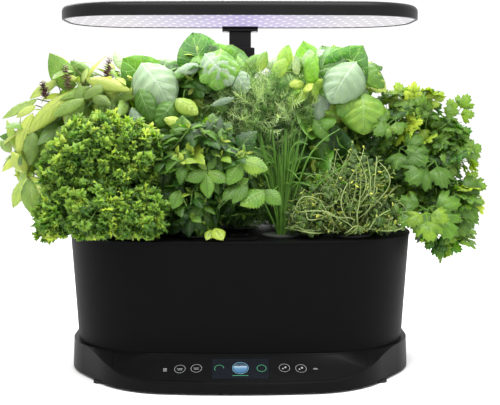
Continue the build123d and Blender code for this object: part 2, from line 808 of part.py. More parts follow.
def collar(width, depth, seat_low_z, tube_end_z, inner_width, inner_depth):
    """Collar over a tube's end, with a lip that guides the next tube and a button housing."""
    outer_width = width + 2 * (gap + collar_wall)
    outer_depth = depth + 2 * (gap + collar_wall)
    top_z = tube_end_z + collar_lip
    housing_rear_y = mast_y + outer_depth / 2 + housing_depth
    housing_z = top_z - housing_drop - housing_height
    with BuildPart() as body:
        add(prism(tube_plan(outer_width, outer_depth), seat_low_z, top_z))
        fillet(body.edges().group_by(Axis.Z)[-1], collar_wall / 2)
        add(block((-housing_half_width, mast_y, housing_z),
                  (housing_half_width, housing_rear_y, housing_z + housing_height)))
        add(prism(tube_plan(width + 2 * gap, depth + 2 * gap), seat_low_z, tube_end_z + gap),
            mode=Mode.SUBTRACT)
        add(prism(tube_plan(inner_width + 2 * slide_gap, inner_depth + 2 * slide_gap), seat_low_z, top_z),
            mode=Mode.SUBTRACT)
        with BuildSketch(Plane.XZ.offset(-housing_rear_y)):
            with Locations((0, housing_z + housing_height / 2)):
                Circle(button_radius + button_gap)
        extrude(amount=button_pocket_depth, mode=Mode.SUBTRACT)
    return body.part


def release_button(width, depth, tube_end_z):
    """Push button that stands out of a collar's housing by its travel."""
    housing_rear_y = mast_y + depth / 2 + gap + collar_wall + housing_depth
    button_z = tube_end_z + collar_lip - housing_drop - housing_height / 2
    with BuildPart() as body:
        with BuildSketch(Plane.XZ.offset(-housing_rear_y - button_travel)):
            with Locations((0, button_z)):
                Circle(button_radius)
        extrude(amount=button_length - gap)
        fillet(body.edges().group_by(Axis.Y)[-1], button_fillet)
    return body.part


with BuildPart() as mast_lower_collar:
    add(collar(lower_width, lower_depth, lower_collar_top - lower_collar_height, lower_tube_top,
               middle_width, middle_depth))
keep(mast_lower_collar, "mast_lower_collar")

with BuildPart() as lower_release_button:
    add(release_button(lower_width, lower_depth, lower_tube_top))
keep(lower_release_button, "lower_release_button")

with BuildPart() as mast_middle_tube:
    add(prism(tube_plan(middle_width, middle_depth), middle_tube_low, middle_tube_top))
    add(prism(tube_plan(mast_width + 2 * slide_gap, mast_depth + 2 * slide_gap),
              middle_tube_low, middle_tube_top), mode=Mode.SUBTRACT)
keep(mast_middle_tube, "mast_middle_tube")

with BuildPart() as mast_middle_collar:
    add(collar(middle_width, middle_depth, lower_collar_top + middle_collar_gap, middle_tube_top,
               mast_width, mast_depth))
keep(mast_middle_collar, "mast_middle_collar")

with BuildPart() as upper_release_button:
    add(release_button(middle_width, middle_depth, middle_tube_top))
keep(upper_release_button, "upper_release_button")

with BuildPart() as middle_glide:
    add(prism(tube_plan(lower_width - 2 * (tube_wall + glide_gap), lower_depth - 2 * (tube_wall + glide_gap),
                        tube_corner / 2), middle_tube_low - glide_height, middle_tube_low))
    with BuildSketch(Plane.XY.offset(middle_tube_low - glide_height)):
        with Locations((0, mast_y)):
            Circle(lead_radius + lead_hole_gap)
    extrude(amount=glide_height, mode=Mode.SUBTRACT)
keep(middle_glide, "middle_glide")

with BuildPart() as mast_upper_tube:
    add(prism(tube_plan(mast_width, mast_depth), upper_tube_low, hood_roof_z))
    add(prism(tube_plan(mast_width - 2 * tube_wall, mast_depth - 2 * tube_wall, tube_corner / 2),
              upper_tube_low, hood_roof_z), mode=Mode.SUBTRACT)
keep(mast_upper_tube, "mast_upper_tube")

with BuildPart() as upper_glide:
    add(prism(tube_plan(mast_width + 2 * (slide_gap - glide_gap), mast_depth + 2 * (slide_gap - glide_gap)),
              upper_tube_low - glide_height, upper_tube_low))
    with BuildSketch(Plane.XY.offset(upper_tube_low - glide_height)):
        with Locations((0, mast_y)):
            Circle(lead_radius + lead_hole_gap)
    extrude(amount=glide_height, mode=Mode.SUBTRACT)
keep(upper_glide, "upper_glide")

with BuildPart() as light_lead:
    with BuildSketch(Plane.XY.offset(plate_top_z)):
        with Locations((0, mast_y)):
            Circle(lead_radius)
    extrude(amount=hood_roof_z - gap - plate_top_z)
keep(light_lead, "light_lead")

# Hood

clamp_front_y = mast_y - clamp_depth / 2
socket_block = block((-clamp_width / 2, clamp_front_y, hood_low_z), (clamp_width / 2, hood_rear, hood_roof_z))
socket_room = block(
    (-clamp_width / 2 - gap, clamp_front_y - gap, hood_low_z), (clamp_width / 2 + gap, rear_y, hood_roof_z)
)
clamp_screws = [
    (x, mast_y + y)
    for x in (-clamp_screw_x, clamp_screw_x)
    for y in (-clamp_screw_y, clamp_screw_y)
]
clamp_low_z = hood_low_z - clamp_height

with BuildPart() as hood_shell:
    add(prism(hood_plan(), hood_low_z, hood_top_z))
    fillet(hood_shell.edges().group_by(Axis.Z)[-1], hood_top_fillet)
    fillet(hood_shell.edges().group_by(Axis.Z)[0], hood_edge_fillet)
    add(prism(hood_plan(hood_rim), hood_low_z, lens_top_z), mode=Mode.SUBTRACT)
    add(prism(hood_plan(hood_rim + lens_step), lens_top_z, hood_roof_z), mode=Mode.SUBTRACT)
    with BuildPart():
        add(socket_block)
        add(prism(hood_plan(hood_rim), hood_low_z, hood_top_z), mode=Mode.INTERSECT)
    add(prism(tube_plan(mast_width + 2 * gap, mast_depth + 2 * gap), hood_low_z, hood_roof_z),
        mode=Mode.SUBTRACT)
    with BuildSketch(Plane.XY.offset(hood_low_z)):
        with Locations(*clamp_screws):
            Circle(screw_radius + shaft_gap)
    extrude(amount=screw_length - clamp_height, mode=Mode.SUBTRACT)
keep(hood_shell, "hood_shell")

with BuildPart() as hood_clamp:
    add(prism(tube_plan(clamp_width, clamp_depth, tube_corner), clamp_low_z, hood_low_z))
    fillet(hood_clamp.edges().group_by(Axis.Z)[0], clamp_fillet)
    add(prism(tube_plan(mast_width + 2 * gap, mast_depth + 2 * gap), clamp_low_z, hood_low_z),
        mode=Mode.SUBTRACT)
    with BuildSketch(Plane.XY.offset(clamp_low_z)):
        with Locations(*clamp_screws):
            Circle(screw_head_radius)
    extrude(amount=screw_head_height, mode=Mode.SUBTRACT)
    with BuildSketch(Plane.XY.offset(clamp_low_z)):
        with Locations(*clamp_screws):
            Circle(screw_radius + shaft_gap)
    extrude(amount=clamp_height, mode=Mode.SUBTRACT)
keep(hood_clamp, "hood_clamp")

with BuildPart() as hood_screws:
    with BuildSketch(Plane.XY.offset(clamp_low_z)):
        with Locations(*clamp_screws):
            Circle(screw_head_radius - shaft_gap)
    extrude(amount=screw_head_height)
    with BuildSketch(Plane.XY.offset(clamp_low_z)):
        with Locations(*clamp_screws):
            Circle(screw_radius)
    extrude(amount=screw_length - gap)
keep(hood_screws, "hood_screws")

with BuildPart() as light_lens:
    add(prism(hood_plan(hood_rim + gap), lens_low_z, lens_top_z))
    add(socket_room, mode=Mode.SUBTRACT)
keep(light_lens, "light_lens")

with BuildPart() as led_board:
    add(prism(hood_plan(led_board_inset), hood_roof_z - led_board_thickness, hood_roof_z))
    add(socket_room, mode=Mode.SUBTRACT)
keep(led_board, "led_board")

hood_middle_y = (hood_rear - hood_front) / 2
led_places = [
    ((column - (led_columns - 1) / 2 + led_stagger * (-1) ** row) * led_pitch_x,
     hood_middle_y + (row - (led_rows - 1) / 2) * led_pitch_y)
    for row in range(led_rows)
    for column in range(led_columns)
]

with BuildPart() as led_emitters:
    with BuildSketch(Plane.XY.offset(hood_roof_z - led_board_thickness)):
        with Locations(*led_places):
            Rectangle(led_size, led_size)
    extrude(amount=-led_height)
keep(led_emitters, "led_emitters")

# Plants

crown_back_y = mast_y - lower_depth / 2 - gap - collar_wall - crown_gap
lid_swing = block(
    (-lid_half_width - 2 * crown_gap, lid_front_y - 2 * crown_gap, deck_top_z),
    (lid_half_width + 2 * crown_gap, hinge_y + 4 * hinge_radius, deck_top_z + lid_swing_height),
)
bowl_room = prism(bowl_plan(-bowl_flare - deck_overhang - crown_gap), 0, crown_low_z)


def cell(left_x, right_x, cell_front, cell_back):
    """Room that one crown has to itself."""
    half = crown_gap / 2
    return block((left_x + half, cell_front + half, 0), (right_x - half, cell_back - half, crown_high_z))


def plant(pod, room, lobes):
    """A plant's stem, with a crown of rounded lobes cut to its room.

    Each lobe is (x and y from the pod, height above the deck, radius).
    """
    pod_x, pod_y = pod
    with BuildPart() as body:
        for dx, dy, height, radius in lobes:
            with Locations((pod_x + dx, pod_y + dy, deck_top_z + height)):
                Sphere(radius)
        add(room, mode=Mode.INTERSECT)
        add(bowl_room, mode=Mode.SUBTRACT)
        add(lid_swing, mode=Mode.SUBTRACT)
        with Locations((pod_x, pod_y, sponge_top_z - stem_hole_depth)):
            Cylinder(stem_radius, stem_hole_depth + sponge_top_drop + lobes[0][2],
                     align=(Align.CENTER, Align.CENTER, Align.MIN))
    return body


outer_left = -plant_reach - crown_gap / 2
outer_right = plant_reach + crown_gap / 2
back_walls = (outer_left, *[pitches * pod_pitch for pitches in back_splits], outer_right)
front_walls = (outer_left, *front_splits, parsley_left)
back_cells = [cell(a, b, row_split_y, crown_back_y) for a, b in zip(back_walls, back_walls[1:])]
front_cells = [cell(a, b, front_y, row_split_y) for a, b in zip(front_walls, front_walls[1:])]
parsley_cell = back_cells[4] + cell(parsley_left, outer_right, front_y, crown_back_y)

thai_basil = plant(back_pods[0], back_cells[0], [
    (-8, 6, 42, 44), (-58, 8, 62, 46), (-102, 2, 104, 38), (-52, 6, 130, 50), (-4, 8, 104, 46),
    (0, 8, 162, 38), (-58, 8, 176, 34), (-26, 10, 176, 34),
])
genovese_basil_left = plant(back_pods[1], back_cells[1], [
    (0, 4, 44, 46), (45, 6, 50, 40), (-12, 10, 118, 46), (34, 8, 118, 46), (-18, 12, 178, 36),
    (38, 8, 196, 36), (8, 10, 176, 34),
])
dill = plant(back_pods[2], back_cells[2], [
    (14, 2, 44, 44), (30, 4, 100, 44), (22, 4, 150, 42), (38, 4, 186, 30), (4, 8, 178, 28),
])
genovese_basil_right = plant(back_pods[3], back_cells[3], [
    (12, 6, 44, 46), (46, 4, 60, 44), (22, 8, 120, 50), (14, 10, 190, 44), (50, 10, 180, 44),
])
italian_parsley = plant(back_pods[4], parsley_cell, [
    (24, 4, 44, 46), (20, 4, 110, 46), (58, -6, 140, 44), (94, -14, 104, 46), (64, -14, 70, 44),
    (100, -42, 40, 40), (92, -38, 2, 30),
])
curly_parsley = plant(front_pods[0], front_cells[0], [
    (0, -14, 44, 50), (-50, -14, 48, 52), (-66, -20, 84, 40), (4, -14, 96, 44), (-34, -12, 100, 50),
    (-36, -56, 34, 36), (18, -52, 32, 34), (-76, -42, 26, 34),
])
mint = plant(front_pods[1], front_cells[1], [
    (-4, -14, 40, 44), (-16, -14, 92, 42), (36, -14, 90, 42), (8, -12, 104, 42), (44, -8, 54, 34),
])
chives = plant(front_pods[2], front_cells[2], [
    (0, 0, 24, 26), (0, 0, 58, 28), (0, -2, 88, 28), (2, 0, 106, 24),
])
thyme = plant(front_pods[3], front_cells[3], [
    (-4, -12, 26, 44), (-30, -14, 50, 34), (12, -14, 56, 42), (0, -6, 68, 34), (30, -24, 24, 30),
])
for crown, name in (
    (thai_basil, "thai_basil_plant"), (genovese_basil_left, "genovese_basil_left_plant"),
    (dill, "dill_plant"), (genovese_basil_right, "genovese_basil_right_plant"),
    (italian_parsley, "italian_parsley_plant"), (curly_parsley, "curly_parsley_plant"),
    (mint, "mint_plant"), (chives, "chives_plant"), (thyme, "thyme_plant"),
):
    keep(crown, name)
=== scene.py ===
import json
import random
from math import atan2, cos, degrees, pi, radians, sin

import bpy
from mathutils import Matrix, Vector

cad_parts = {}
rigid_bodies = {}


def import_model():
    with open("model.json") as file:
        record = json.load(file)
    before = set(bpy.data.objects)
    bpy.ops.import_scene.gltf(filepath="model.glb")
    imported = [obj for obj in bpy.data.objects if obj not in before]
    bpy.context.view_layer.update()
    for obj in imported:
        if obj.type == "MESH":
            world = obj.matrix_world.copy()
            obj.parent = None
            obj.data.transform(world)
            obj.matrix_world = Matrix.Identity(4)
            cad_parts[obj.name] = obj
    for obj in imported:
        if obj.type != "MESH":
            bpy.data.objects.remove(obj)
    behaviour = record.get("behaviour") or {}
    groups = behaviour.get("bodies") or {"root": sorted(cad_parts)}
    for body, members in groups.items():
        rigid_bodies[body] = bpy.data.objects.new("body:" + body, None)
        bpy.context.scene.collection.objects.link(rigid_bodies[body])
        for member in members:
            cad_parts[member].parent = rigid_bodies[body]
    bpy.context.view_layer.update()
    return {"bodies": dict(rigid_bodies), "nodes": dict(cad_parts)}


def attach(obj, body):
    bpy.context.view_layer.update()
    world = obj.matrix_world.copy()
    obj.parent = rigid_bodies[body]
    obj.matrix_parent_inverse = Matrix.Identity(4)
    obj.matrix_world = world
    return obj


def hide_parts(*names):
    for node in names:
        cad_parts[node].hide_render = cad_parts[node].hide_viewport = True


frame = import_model()
nodes = frame["nodes"]
print("frame loaded:", len(nodes), "nodes")

shot = dict(height=0.330, distance=1.2935, pitchDown=5.443, turnRight=0.541, lens=74.74)
cameraData = bpy.data.cameras.new("mainCamera")
cameraData.lens = shot["lens"]
cameraData.sensor_width = 36
cameraData.clip_start = 0.05
camera = bpy.data.objects.new("mainCamera", cameraData)
camera.location = (0, -shot["distance"], shot["height"])
camera.rotation_euler = (radians(90 - shot["pitchDown"]), 0, -radians(shot["turnRight"]))
bpy.context.scene.collection.objects.link(camera)
bpy.context.scene.camera = camera
bpy.context.scene.view_settings.view_transform = "Standard"


def addToScene(thing):
    bpy.context.scene.collection.objects.link(thing)


def switchMode(mode):
    bpy.ops.object.mode_set(mode=mode)


def clearSelection():
    bpy.ops.object.select_all(action="DESELECT")


def pick(*pieces):
    clearSelection()
    for piece in pieces:
        piece.select_set(True)
    bpy.context.view_layer.objects.active = pieces[0]


def settle(piece):              # puts the piece's place into its mesh
    pick(piece)
    bpy.ops.object.transform_apply(location=True, rotation=True, scale=True)


def applyModifier(piece, kind, **settings):
    pick(piece)
    modifier = piece.modifiers.new(kind.lower(), kind)
    for name, value in settings.items():
        setattr(modifier, name, value)
    bpy.ops.object.modifier_apply(modifier=modifier.name)


def rename(piece, name):
    piece.name = name
    piece.data.name = name


def joinPieces(pieces, name):
    pick(*pieces)
    bpy.ops.object.join()
    rename(bpy.context.object, name)
    return bpy.context.object


def cover(piece, material):
    piece.data.materials.clear()
    piece.data.materials.append(material)


def feed(tree, socket, value):      # links a wire, or sets a plain value
    if isinstance(value, Wire):
        tree.links.new(value.socket, socket)
    else:
        socket.default_value = value


class Wire:                     # one value in a material, so that its maths reads as maths
    def __init__(self, tree, socket):
        self.tree = tree
        self.socket = socket

    def math(self, operation, other=None, swapped=False):
        node = self.tree.nodes.new("ShaderNodeMath")
        node.operation = operation
        pair = [self, other] if not swapped else [other, self]
        for place, value in enumerate(pair):
            if value is not None:
                feed(self.tree, node.inputs[place], value)
        return Wire(self.tree, node.outputs[0])

    def __add__(self, other): return self.math("ADD", other)
    def __sub__(self, other): return self.math("SUBTRACT", other)
    def __rsub__(self, other): return self.math("SUBTRACT", other, True)
    def __mul__(self, other): return self.math("MULTIPLY", other)
    def __truediv__(self, other): return self.math("DIVIDE", other)
    def __gt__(self, other): return self.math("GREATER_THAN", other)
    def __lt__(self, other): return self.math("LESS_THAN", other)
    def __abs__(self): return self.math("ABSOLUTE")
    def fract(self): return self.math("FRACT")
    def floor(self): return self.math("FLOOR")
    def low(self, other): return self.math("MINIMUM", other)
    def high(self, other): return self.math("MAXIMUM", other)
    __radd__, __rmul__ = __add__, __mul__


class Finish:                   # a material with one surface shader
    def __init__(self, name, **sockets):
        self.material = bpy.data.materials.new(name)
        self.material.use_nodes = True
        self.tree = self.material.node_tree
        self.shader = self.tree.nodes["Principled BSDF"]
        for label, value in sockets.items():
            self.set(label, value)

    def set(self, label, value):
        feed(self.tree, self.shader.inputs[label.replace("_", " ")], value)

    def node(self, kind, settings=None, output=0, **inputs):
        node = self.tree.nodes.new(kind)
        for label, value in (settings or {}).items():
            if label == "stops":
                while len(node.color_ramp.elements) < len(value):
                    node.color_ramp.elements.new(0.5)
                for element, (place, colour) in zip(node.color_ramp.elements, value):
                    element.position = place
                    element.color = (*colour, 1)
            else:
                setattr(node, label, value)
        for label, value in inputs.items():
            feed(self.tree, node.inputs[label.replace("_", " ")], value)
        return Wire(self.tree, node.outputs[output])

    def place(self):
        return self.node("ShaderNodeTexCoord", output="Object")

    def uv(self):
        return self.node("ShaderNodeTexCoord", output="UV")

    def split(self, vector):
        parts = self.node("ShaderNodeSeparateXYZ", Vector=vector).socket.node
        return [Wire(self.tree, socket) for socket in parts.outputs]

    def noise(self, scale, detail=2.0, vector=None):
        return self.node("ShaderNodeTexNoise", None, "Fac", Vector=vector or self.place(), Scale=scale,
                         Detail=detail)

    def mix(self, factor, first, second):
        node = self.tree.nodes.new("ShaderNodeMix")
        node.data_type = "RGBA"
        feed(self.tree, node.inputs[0], factor)
        for place, colour in ((6, first), (7, second)):
            feed(self.tree, node.inputs[place], colour if isinstance(colour, Wire) else (*colour, 1))
        return Wire(self.tree, node.outputs[2])

    def ramp(self, factor, stops):
        return self.node("ShaderNodeValToRGB", {"stops": stops}, Fac=factor)

    def bump(self, height, strength, distance):
        self.set("Normal", self.node("ShaderNodeBump", None, "Normal", Height=height, Strength=strength,
                                     Distance=distance))


def dress(material, *names):    # gives CAD nodes their finish
    for name in names:
        for slot in nodes[name].material_slots:
            slot.material = material


def cloudy(name, noise, low, high, roughness=None, bump=None, **sockets):       # a softly mottled finish
    finish = Finish(name, **sockets)
    cloud = finish.noise(*noise)
    finish.set("Base Color", finish.mix(cloud, low, high))
    if roughness:
        finish.set("Roughness", roughness[0] + cloud * roughness[1])
    if bump:
        finish.bump(cloud, *bump)
    return finish


def mouldedPlastic(name, colour, roughness, grain, specular=0.5):
    finish = cloudy(name, (38, 3), [c * 0.82 for c in colour], [c * 1.22 for c in colour],
                    (roughness - 0.05, 0.1), Specular_IOR_Level=specular)
    finish.bump(finish.noise(2600, 1) + finish.noise(700, 2) * 0.6, grain, 0.0001)
    return finish.material


blackShell = mouldedPlastic("blackShell", (0.0032, 0.0032, 0.0034), 0.42, 0.25, 0.065)
bowlBlack = mouldedPlastic("bowlBlack", (0.0027, 0.0027, 0.0029), 0.5, 0.3, 0.045)
hoodBlack = mouldedPlastic("hoodBlack", (0.0070, 0.0070, 0.0074), 0.4, 0.22, 0.15)
innerGrey = mouldedPlastic("innerGrey", (0.06, 0.06, 0.064), 0.5, 0.2)
basketDark = mouldedPlastic("basketDark", (0.03, 0.03, 0.032), 0.45, 0.15)
dress(blackShell, "base_shell", "base_bottom_plate", "mast_lower_tube", "mast_lower_collar",
      "mast_middle_tube", "mast_middle_collar", "mast_upper_tube", "hood_clamp", "lower_release_button",
      "upper_release_button", "power_inlet")
dress(bowlBlack, "grow_bowl", "bowl_floor", "grow_deck", "fill_port_lid")
dress(hoodBlack, "hood_shell")
dress(innerGrey, "pump_housing", "pump_cover", "pump_impeller", "pump_riser", "float_guide", "middle_glide",
      "upper_glide", "pump_contact", "display_module")
dress(basketDark, *[f"grow_basket_{number}" for number in range(1, 10)])

panel = cloudy("panelBlack", (24, 2), (0.0034, 0.0034, 0.0036), (0.0048, 0.0048, 0.0050), (0.27, 0.08),
               Roughness=0.3, Specular_IOR_Level=0.06)
dress(panel.material, "control_panel")
glass = cloudy("screenGlass", (60, 2), (0.004, 0.005, 0.007), (0.007, 0.009, 0.013), (0.1, 0.08),
               Specular_IOR_Level=0.25)
dress(glass.material, "display_window")
rubber = cloudy("footRubber", (300, 3), (0.01, 0.01, 0.01), (0.022, 0.022, 0.022), (0.75, 0.15),
                (0.3, 0.0002), Specular_IOR_Level=0.3)
dress(rubber.material, "base_feet", "light_lead")
steel = cloudy("screwSteel", (900, 2), (0.45, 0.45, 0.46), (0.62, 0.62, 0.63), (0.25, 0.2), Metallic=1.0)
dress(steel.material, "base_screws", "hood_screws", "lid_hinge_pin")

circuit = Finish("circuitGreen", Roughness=0.5)
x, y, z = circuit.split(circuit.place())
trace = ((x * 420).fract() < 0.16).high((y * 420).fract() < 0.16)
circuit.set("Base Color", circuit.mix(trace, (0.01, 0.07, 0.03), (0.03, 0.16, 0.07)))
dress(circuit.material, "control_board")

whiteBoard = cloudy("whiteBoard", (120, 2), (0.72, 0.72, 0.72), (0.82, 0.82, 0.82), Roughness=0.5)
dress(whiteBoard.material, "led_board")

lamps = dict(spacing=0.0146, rows=0.031, middle=0.010)     # metres
emitter = Finish("emitterChip", Roughness=0.4, Emission_Strength=6.0)
x, y, z = emitter.split(emitter.place())
column = ((x / lamps["spacing"] + 100.5).floor() / 4).fract()
emitter.set("Base Color", (0.9, 0.88, 0.7, 1))
emitter.set("Emission Color", emitter.mix(column > 0.7, (1.0, 0.98, 0.95), (1.0, 0.55, 0.75)))
dress(emitter.material, "led_emitters")

foam = cloudy("filterFoam", (900, 2), (0.02, 0.02, 0.022), (0.06, 0.06, 0.065), None, (0.8, 0.0006),
              Roughness=0.9)
dress(foam.material, "pump_filter")
sponge = cloudy("sponge", (1100, 3), (0.03, 0.02, 0.012), (0.12, 0.08, 0.05), None, (0.8, 0.0005),
                Roughness=0.95)
dress(sponge.material, "grow_sponges")
label = cloudy("labelCard", (80, 3), (0.05, 0.06, 0.045), (0.09, 0.10, 0.08), Roughness=0.6)
dress(label.material, "pod_labels")
floatRed = mouldedPlastic("floatRed", (0.55, 0.12, 0.05), 0.5, 0.3)
dress(floatRed, "water_float")

# The diffuser glows, brighter under each row of lamps
lens = Finish("glowingLens", Roughness=0.5, Emission_Strength=1.0, Specular_IOR_Level=0.02)
x, y, z = lens.split(lens.place())
row = (y - lamps["middle"]) / lamps["rows"] + 102.5
shift = ((row.floor() / 2).fract() * 4 - 1) * -0.25
column = (x / lamps["spacing"] + 100.5 + shift).fract() - 0.5
alongRow = row.fract() - 0.5
spot = 1 - ((column * column + alongRow * alongRow * 0.5) * 26).low(1)
middle = 1 - (abs(x) * 7).low(1)
tint = lens.mix(middle, (0.66, 0.63, 0.67), (0.50, 0.42, 0.72))
lens.set("Emission Color", lens.mix(spot, tint, (1.0, 0.97, 1.0)))
lens.set("Base Color", lens.mix(spot, (0.07, 0.07, 0.072), (0.11, 0.11, 0.112)))
dress(lens.material, "light_lens")
print("appliance dressed")

slope = dict(footY=-0.1435, footZ=0.013, run=0.043, rise=0.025)
slopeAngle = atan2(slope["rise"], slope["run"])
iconWhite = cloudy("iconWhite", (500, 1), (0.22, 0.22, 0.225), (0.30, 0.30, 0.31), Roughness=0.5,
                   Emission_Strength=0.12, Specular_IOR_Level=0.2)
iconWhite.set("Emission Color", (0.8, 0.82, 0.85, 1))


def litInk(name, colour, strength):
    ink = Finish(name, Roughness=0.4, Emission_Strength=strength)
    cloud = ink.noise(600, 1)
    ink.set("Base Color", ink.mix(cloud, [c * 0.5 for c in colour], colour))
    ink.set("Emission Color", ink.mix(cloud, [c * 0.8 for c in colour], colour))
    return ink.material


water = Finish("waterLevel", Roughness=0.3, Emission_Strength=0.8, Specular_IOR_Level=0.2)
x, y, z = water.split(water.place())
wave = water.noise(190, 1, x)
fill = (z - 0.0228) / 0.0078 + (wave - 0.5) * 0.18
shades = [(0.0, (0.04, 0.15, 0.32)), (0.42, (0.12, 0.33, 0.58)), (0.56, (0.35, 0.60, 0.80)),
          (0.66, (0.75, 0.85, 0.92)), (0.70, (0.05, 0.10, 0.16)), (1.0, (0.01, 0.02, 0.03))]
water.set("Base Color", (0.02, 0.03, 0.04, 1))
water.set("Emission Color", water.ramp(fill, shades))
rimBlue = litInk("rimBlue", (0.12, 0.30, 0.42), 0.7)
gaugeGreen = litInk("gaugeGreen", (0.03, 0.22, 0.10), 0.7)


def onSlope(across, along, lift=0.0):        # along runs up the slope from the crease
    return Vector((across, slope["footY"] + along * cos(slopeAngle) - lift * sin(slopeAngle),
                   slope["footZ"] + along * sin(slopeAngle) + lift * cos(slopeAngle)))


def layOnPanel(piece, name, material, target):     # drops a flat graphic onto the curved slope
    applyModifier(piece, "SHRINKWRAP", target=nodes[target], wrap_method="PROJECT",
                  use_negative_direction=True, use_positive_direction=True, use_project_z=True,
                  offset=0.00012, wrap_mode="ABOVE_SURFACE")
    settle(piece)
    rename(piece, name)
    cover(piece, material)
    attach(piece, "root")


def ringOnPanel(name, centre, radius, width, material=iconWhite.material, target="control_panel",
                arc=(0, 360), sides=40):
    clearSelection()
    middle = onSlope(*centre, 0.004)
    bpy.ops.mesh.primitive_circle_add(vertices=sides, radius=radius, fill_type="NGON", location=middle,
                                      rotation=(slopeAngle, 0, 0))
    ring = bpy.context.object
    switchMode("EDIT")
    bpy.ops.mesh.select_all(action="SELECT")
    bpy.ops.mesh.inset(thickness=width if width < radius else radius * 0.5)
    if width < radius:
        bpy.ops.mesh.delete(type="FACE")
    switchMode("OBJECT")
    if arc != (0, 360):
        for face in ring.data.polygons:
            angle = degrees(atan2(face.center.y, face.center.x)) % 360
            face.select = not arc[0] <= angle <= arc[1]
        switchMode("EDIT")
        bpy.ops.mesh.delete(type="FACE")
        switchMode("OBJECT")
    layOnPanel(ring, name, material, target)


def barOnPanel(name, centre, width, length, material=iconWhite.material, target="control_panel"):
    clearSelection()
    bpy.ops.mesh.primitive_grid_add(x_subdivisions=8, y_subdivisions=2, size=1,
                                    location=onSlope(*centre, 0.004), rotation=(slopeAngle, 0, 0))
    bar = bpy.context.object
    bar.scale = (width, length, 1)
    layOnPanel(bar, name, material, target)


icons = dict(
    rings=[(-0.0698, 0.0275), (-0.0508, 0.0275), (0.0508, 0.0279), (0.0700, 0.0279)], radius=0.0064,
    line=0.00042,
)
for number, (across, along) in enumerate(icons["rings"], start=1):
    ringOnPanel(f"touchRing{number}", (across, along), icons["radius"], icons["line"])
for number, (across, along) in enumerate(icons["rings"][:2], start=1):       # plain marks inside the rings
    for line, long in ((-0.0014, 0.0052), (0.0006, 0.0060)):
        barOnPanel(f"ringMark{number}", (across, along + line), long, 0.0006)
for number, (across, along) in enumerate(icons["rings"][2:], start=1):
    ringOnPanel(f"ringDot{number}", (across + 0.0012, along + 0.0010), 0.0013, 1, sides=12)
    ringOnPanel(f"ringPip{number}", (across - 0.0018, along - 0.0012), 0.0010, 1, sides=12)
for line in range(4):
    barOnPanel(f"gridLine{line}", (-0.0870, 0.0252 + line * 0.0014), 0.0042, 0.0006)
for step, reach in enumerate((0.0034, 0.0020)):
    ringOnPanel(f"waveMark{step}", (0.0868, 0.0262), reach, 0.0006, arc=(35, 145), sides=24)
ringOnPanel("waterLevel", (0, 0.0268), 0.0080, 1, water.material, "display_window")
ringOnPanel("waterLevelRim", (0, 0.0268), 0.0094, 0.0005, rimBlue, "display_window")
for side, label in ((-1, "Left"), (1, "Right")):
    arc = (0, 215) if side < 0 else (0, 360)
    ringOnPanel(f"gauge{label}", (side * 0.0244, 0.0266), 0.0056, 0.0006, gaugeGreen, "display_window", arc)
barOnPanel("levelBar", (0, 0.0148), 0.018, 0.0008, gaugeGreen, "display_window")
print("panel graphics laid")


garden = dict(
    crownTop=0.4235, backY=0.0905, reach=0.3135, frontY=-0.150,
    lidBox=((-0.0222, -0.0970), (0.0222, -0.0540), 0.2140), lidSpare=0.0035, rimHalf=0.2125, rimFront=-0.107,
    rimMargin=(0.004, 0.012), leafGap=0.002, mostLift=0.016,
)
deckTop = 0.1712
mm = 0.001                      # lobes and large leaves are given in millimetres


def shapeLeaf(name, look, **changes):       # one unit long, grows along +Y with its face up
    look = {**look, **changes}
    clearSelection()
    columns, rows = look["across"], look["along"]
    bpy.ops.mesh.primitive_grid_add(x_subdivisions=columns, y_subdivisions=rows, size=1)
    leaf = bpy.context.object
    leaf.name = name
    for vertex in leaf.data.vertices:
        side = vertex.co.x * 2
        v = min(max(vertex.co.y + 0.5, 0), 1)
        row = round(v * rows)
        column = round((side + 1) / 2 * columns)
        if look["kind"] == "blade":
            half = 0        # the leaf closes at its foot and its tip
            if 0 < row < rows:
                half = look["width"] / 2 * sin(pi * v ** look["shoulder"]) ** look["fullness"]
            if abs(side) > 0.99 and look.get("teeth"):
                half *= 1 + look["teeth"] * (1 if row % 2 else -1)
            ripple = look.get("pucker", 0) * sin(v * look.get("ribs", 5) * 2 * pi - abs(side) * 2.2)
            x = side * half
            y = v + look.get("sweep", 0) * abs(side) * half
            z = look["cup"] * side * side * half * 1.2 + ripple * abs(side) * (1.3 - abs(side))
            z += look["arch"] * sin(pi * v) - look["droop"] * v * v
        else:
            angle = side * radians(look["spread"])
            reach = v * (1 + (look["rim"][column] - 1) * v)
            x = sin(angle) * reach * look["width"]
            y = cos(angle) * reach
            z = look["ruffle"] * v * v * sin(column * look["waves"] + look["phase"])
            z += look["cup"] * v * v - look["droop"] * v * v * abs(side)
        vertex.co = (x, y, z)
    pick(leaf)
    switchMode("EDIT")
    bpy.ops.mesh.select_all(action="SELECT")
    bpy.ops.mesh.remove_doubles(threshold=0.0005)
    switchMode("OBJECT")
    applyModifier(leaf, "SOLIDIFY", thickness=look["thickness"], offset=0)
    bpy.ops.object.shade_smooth()
    leaf.data.attributes.new("tone", "FLOAT", "POINT")
    return leaf


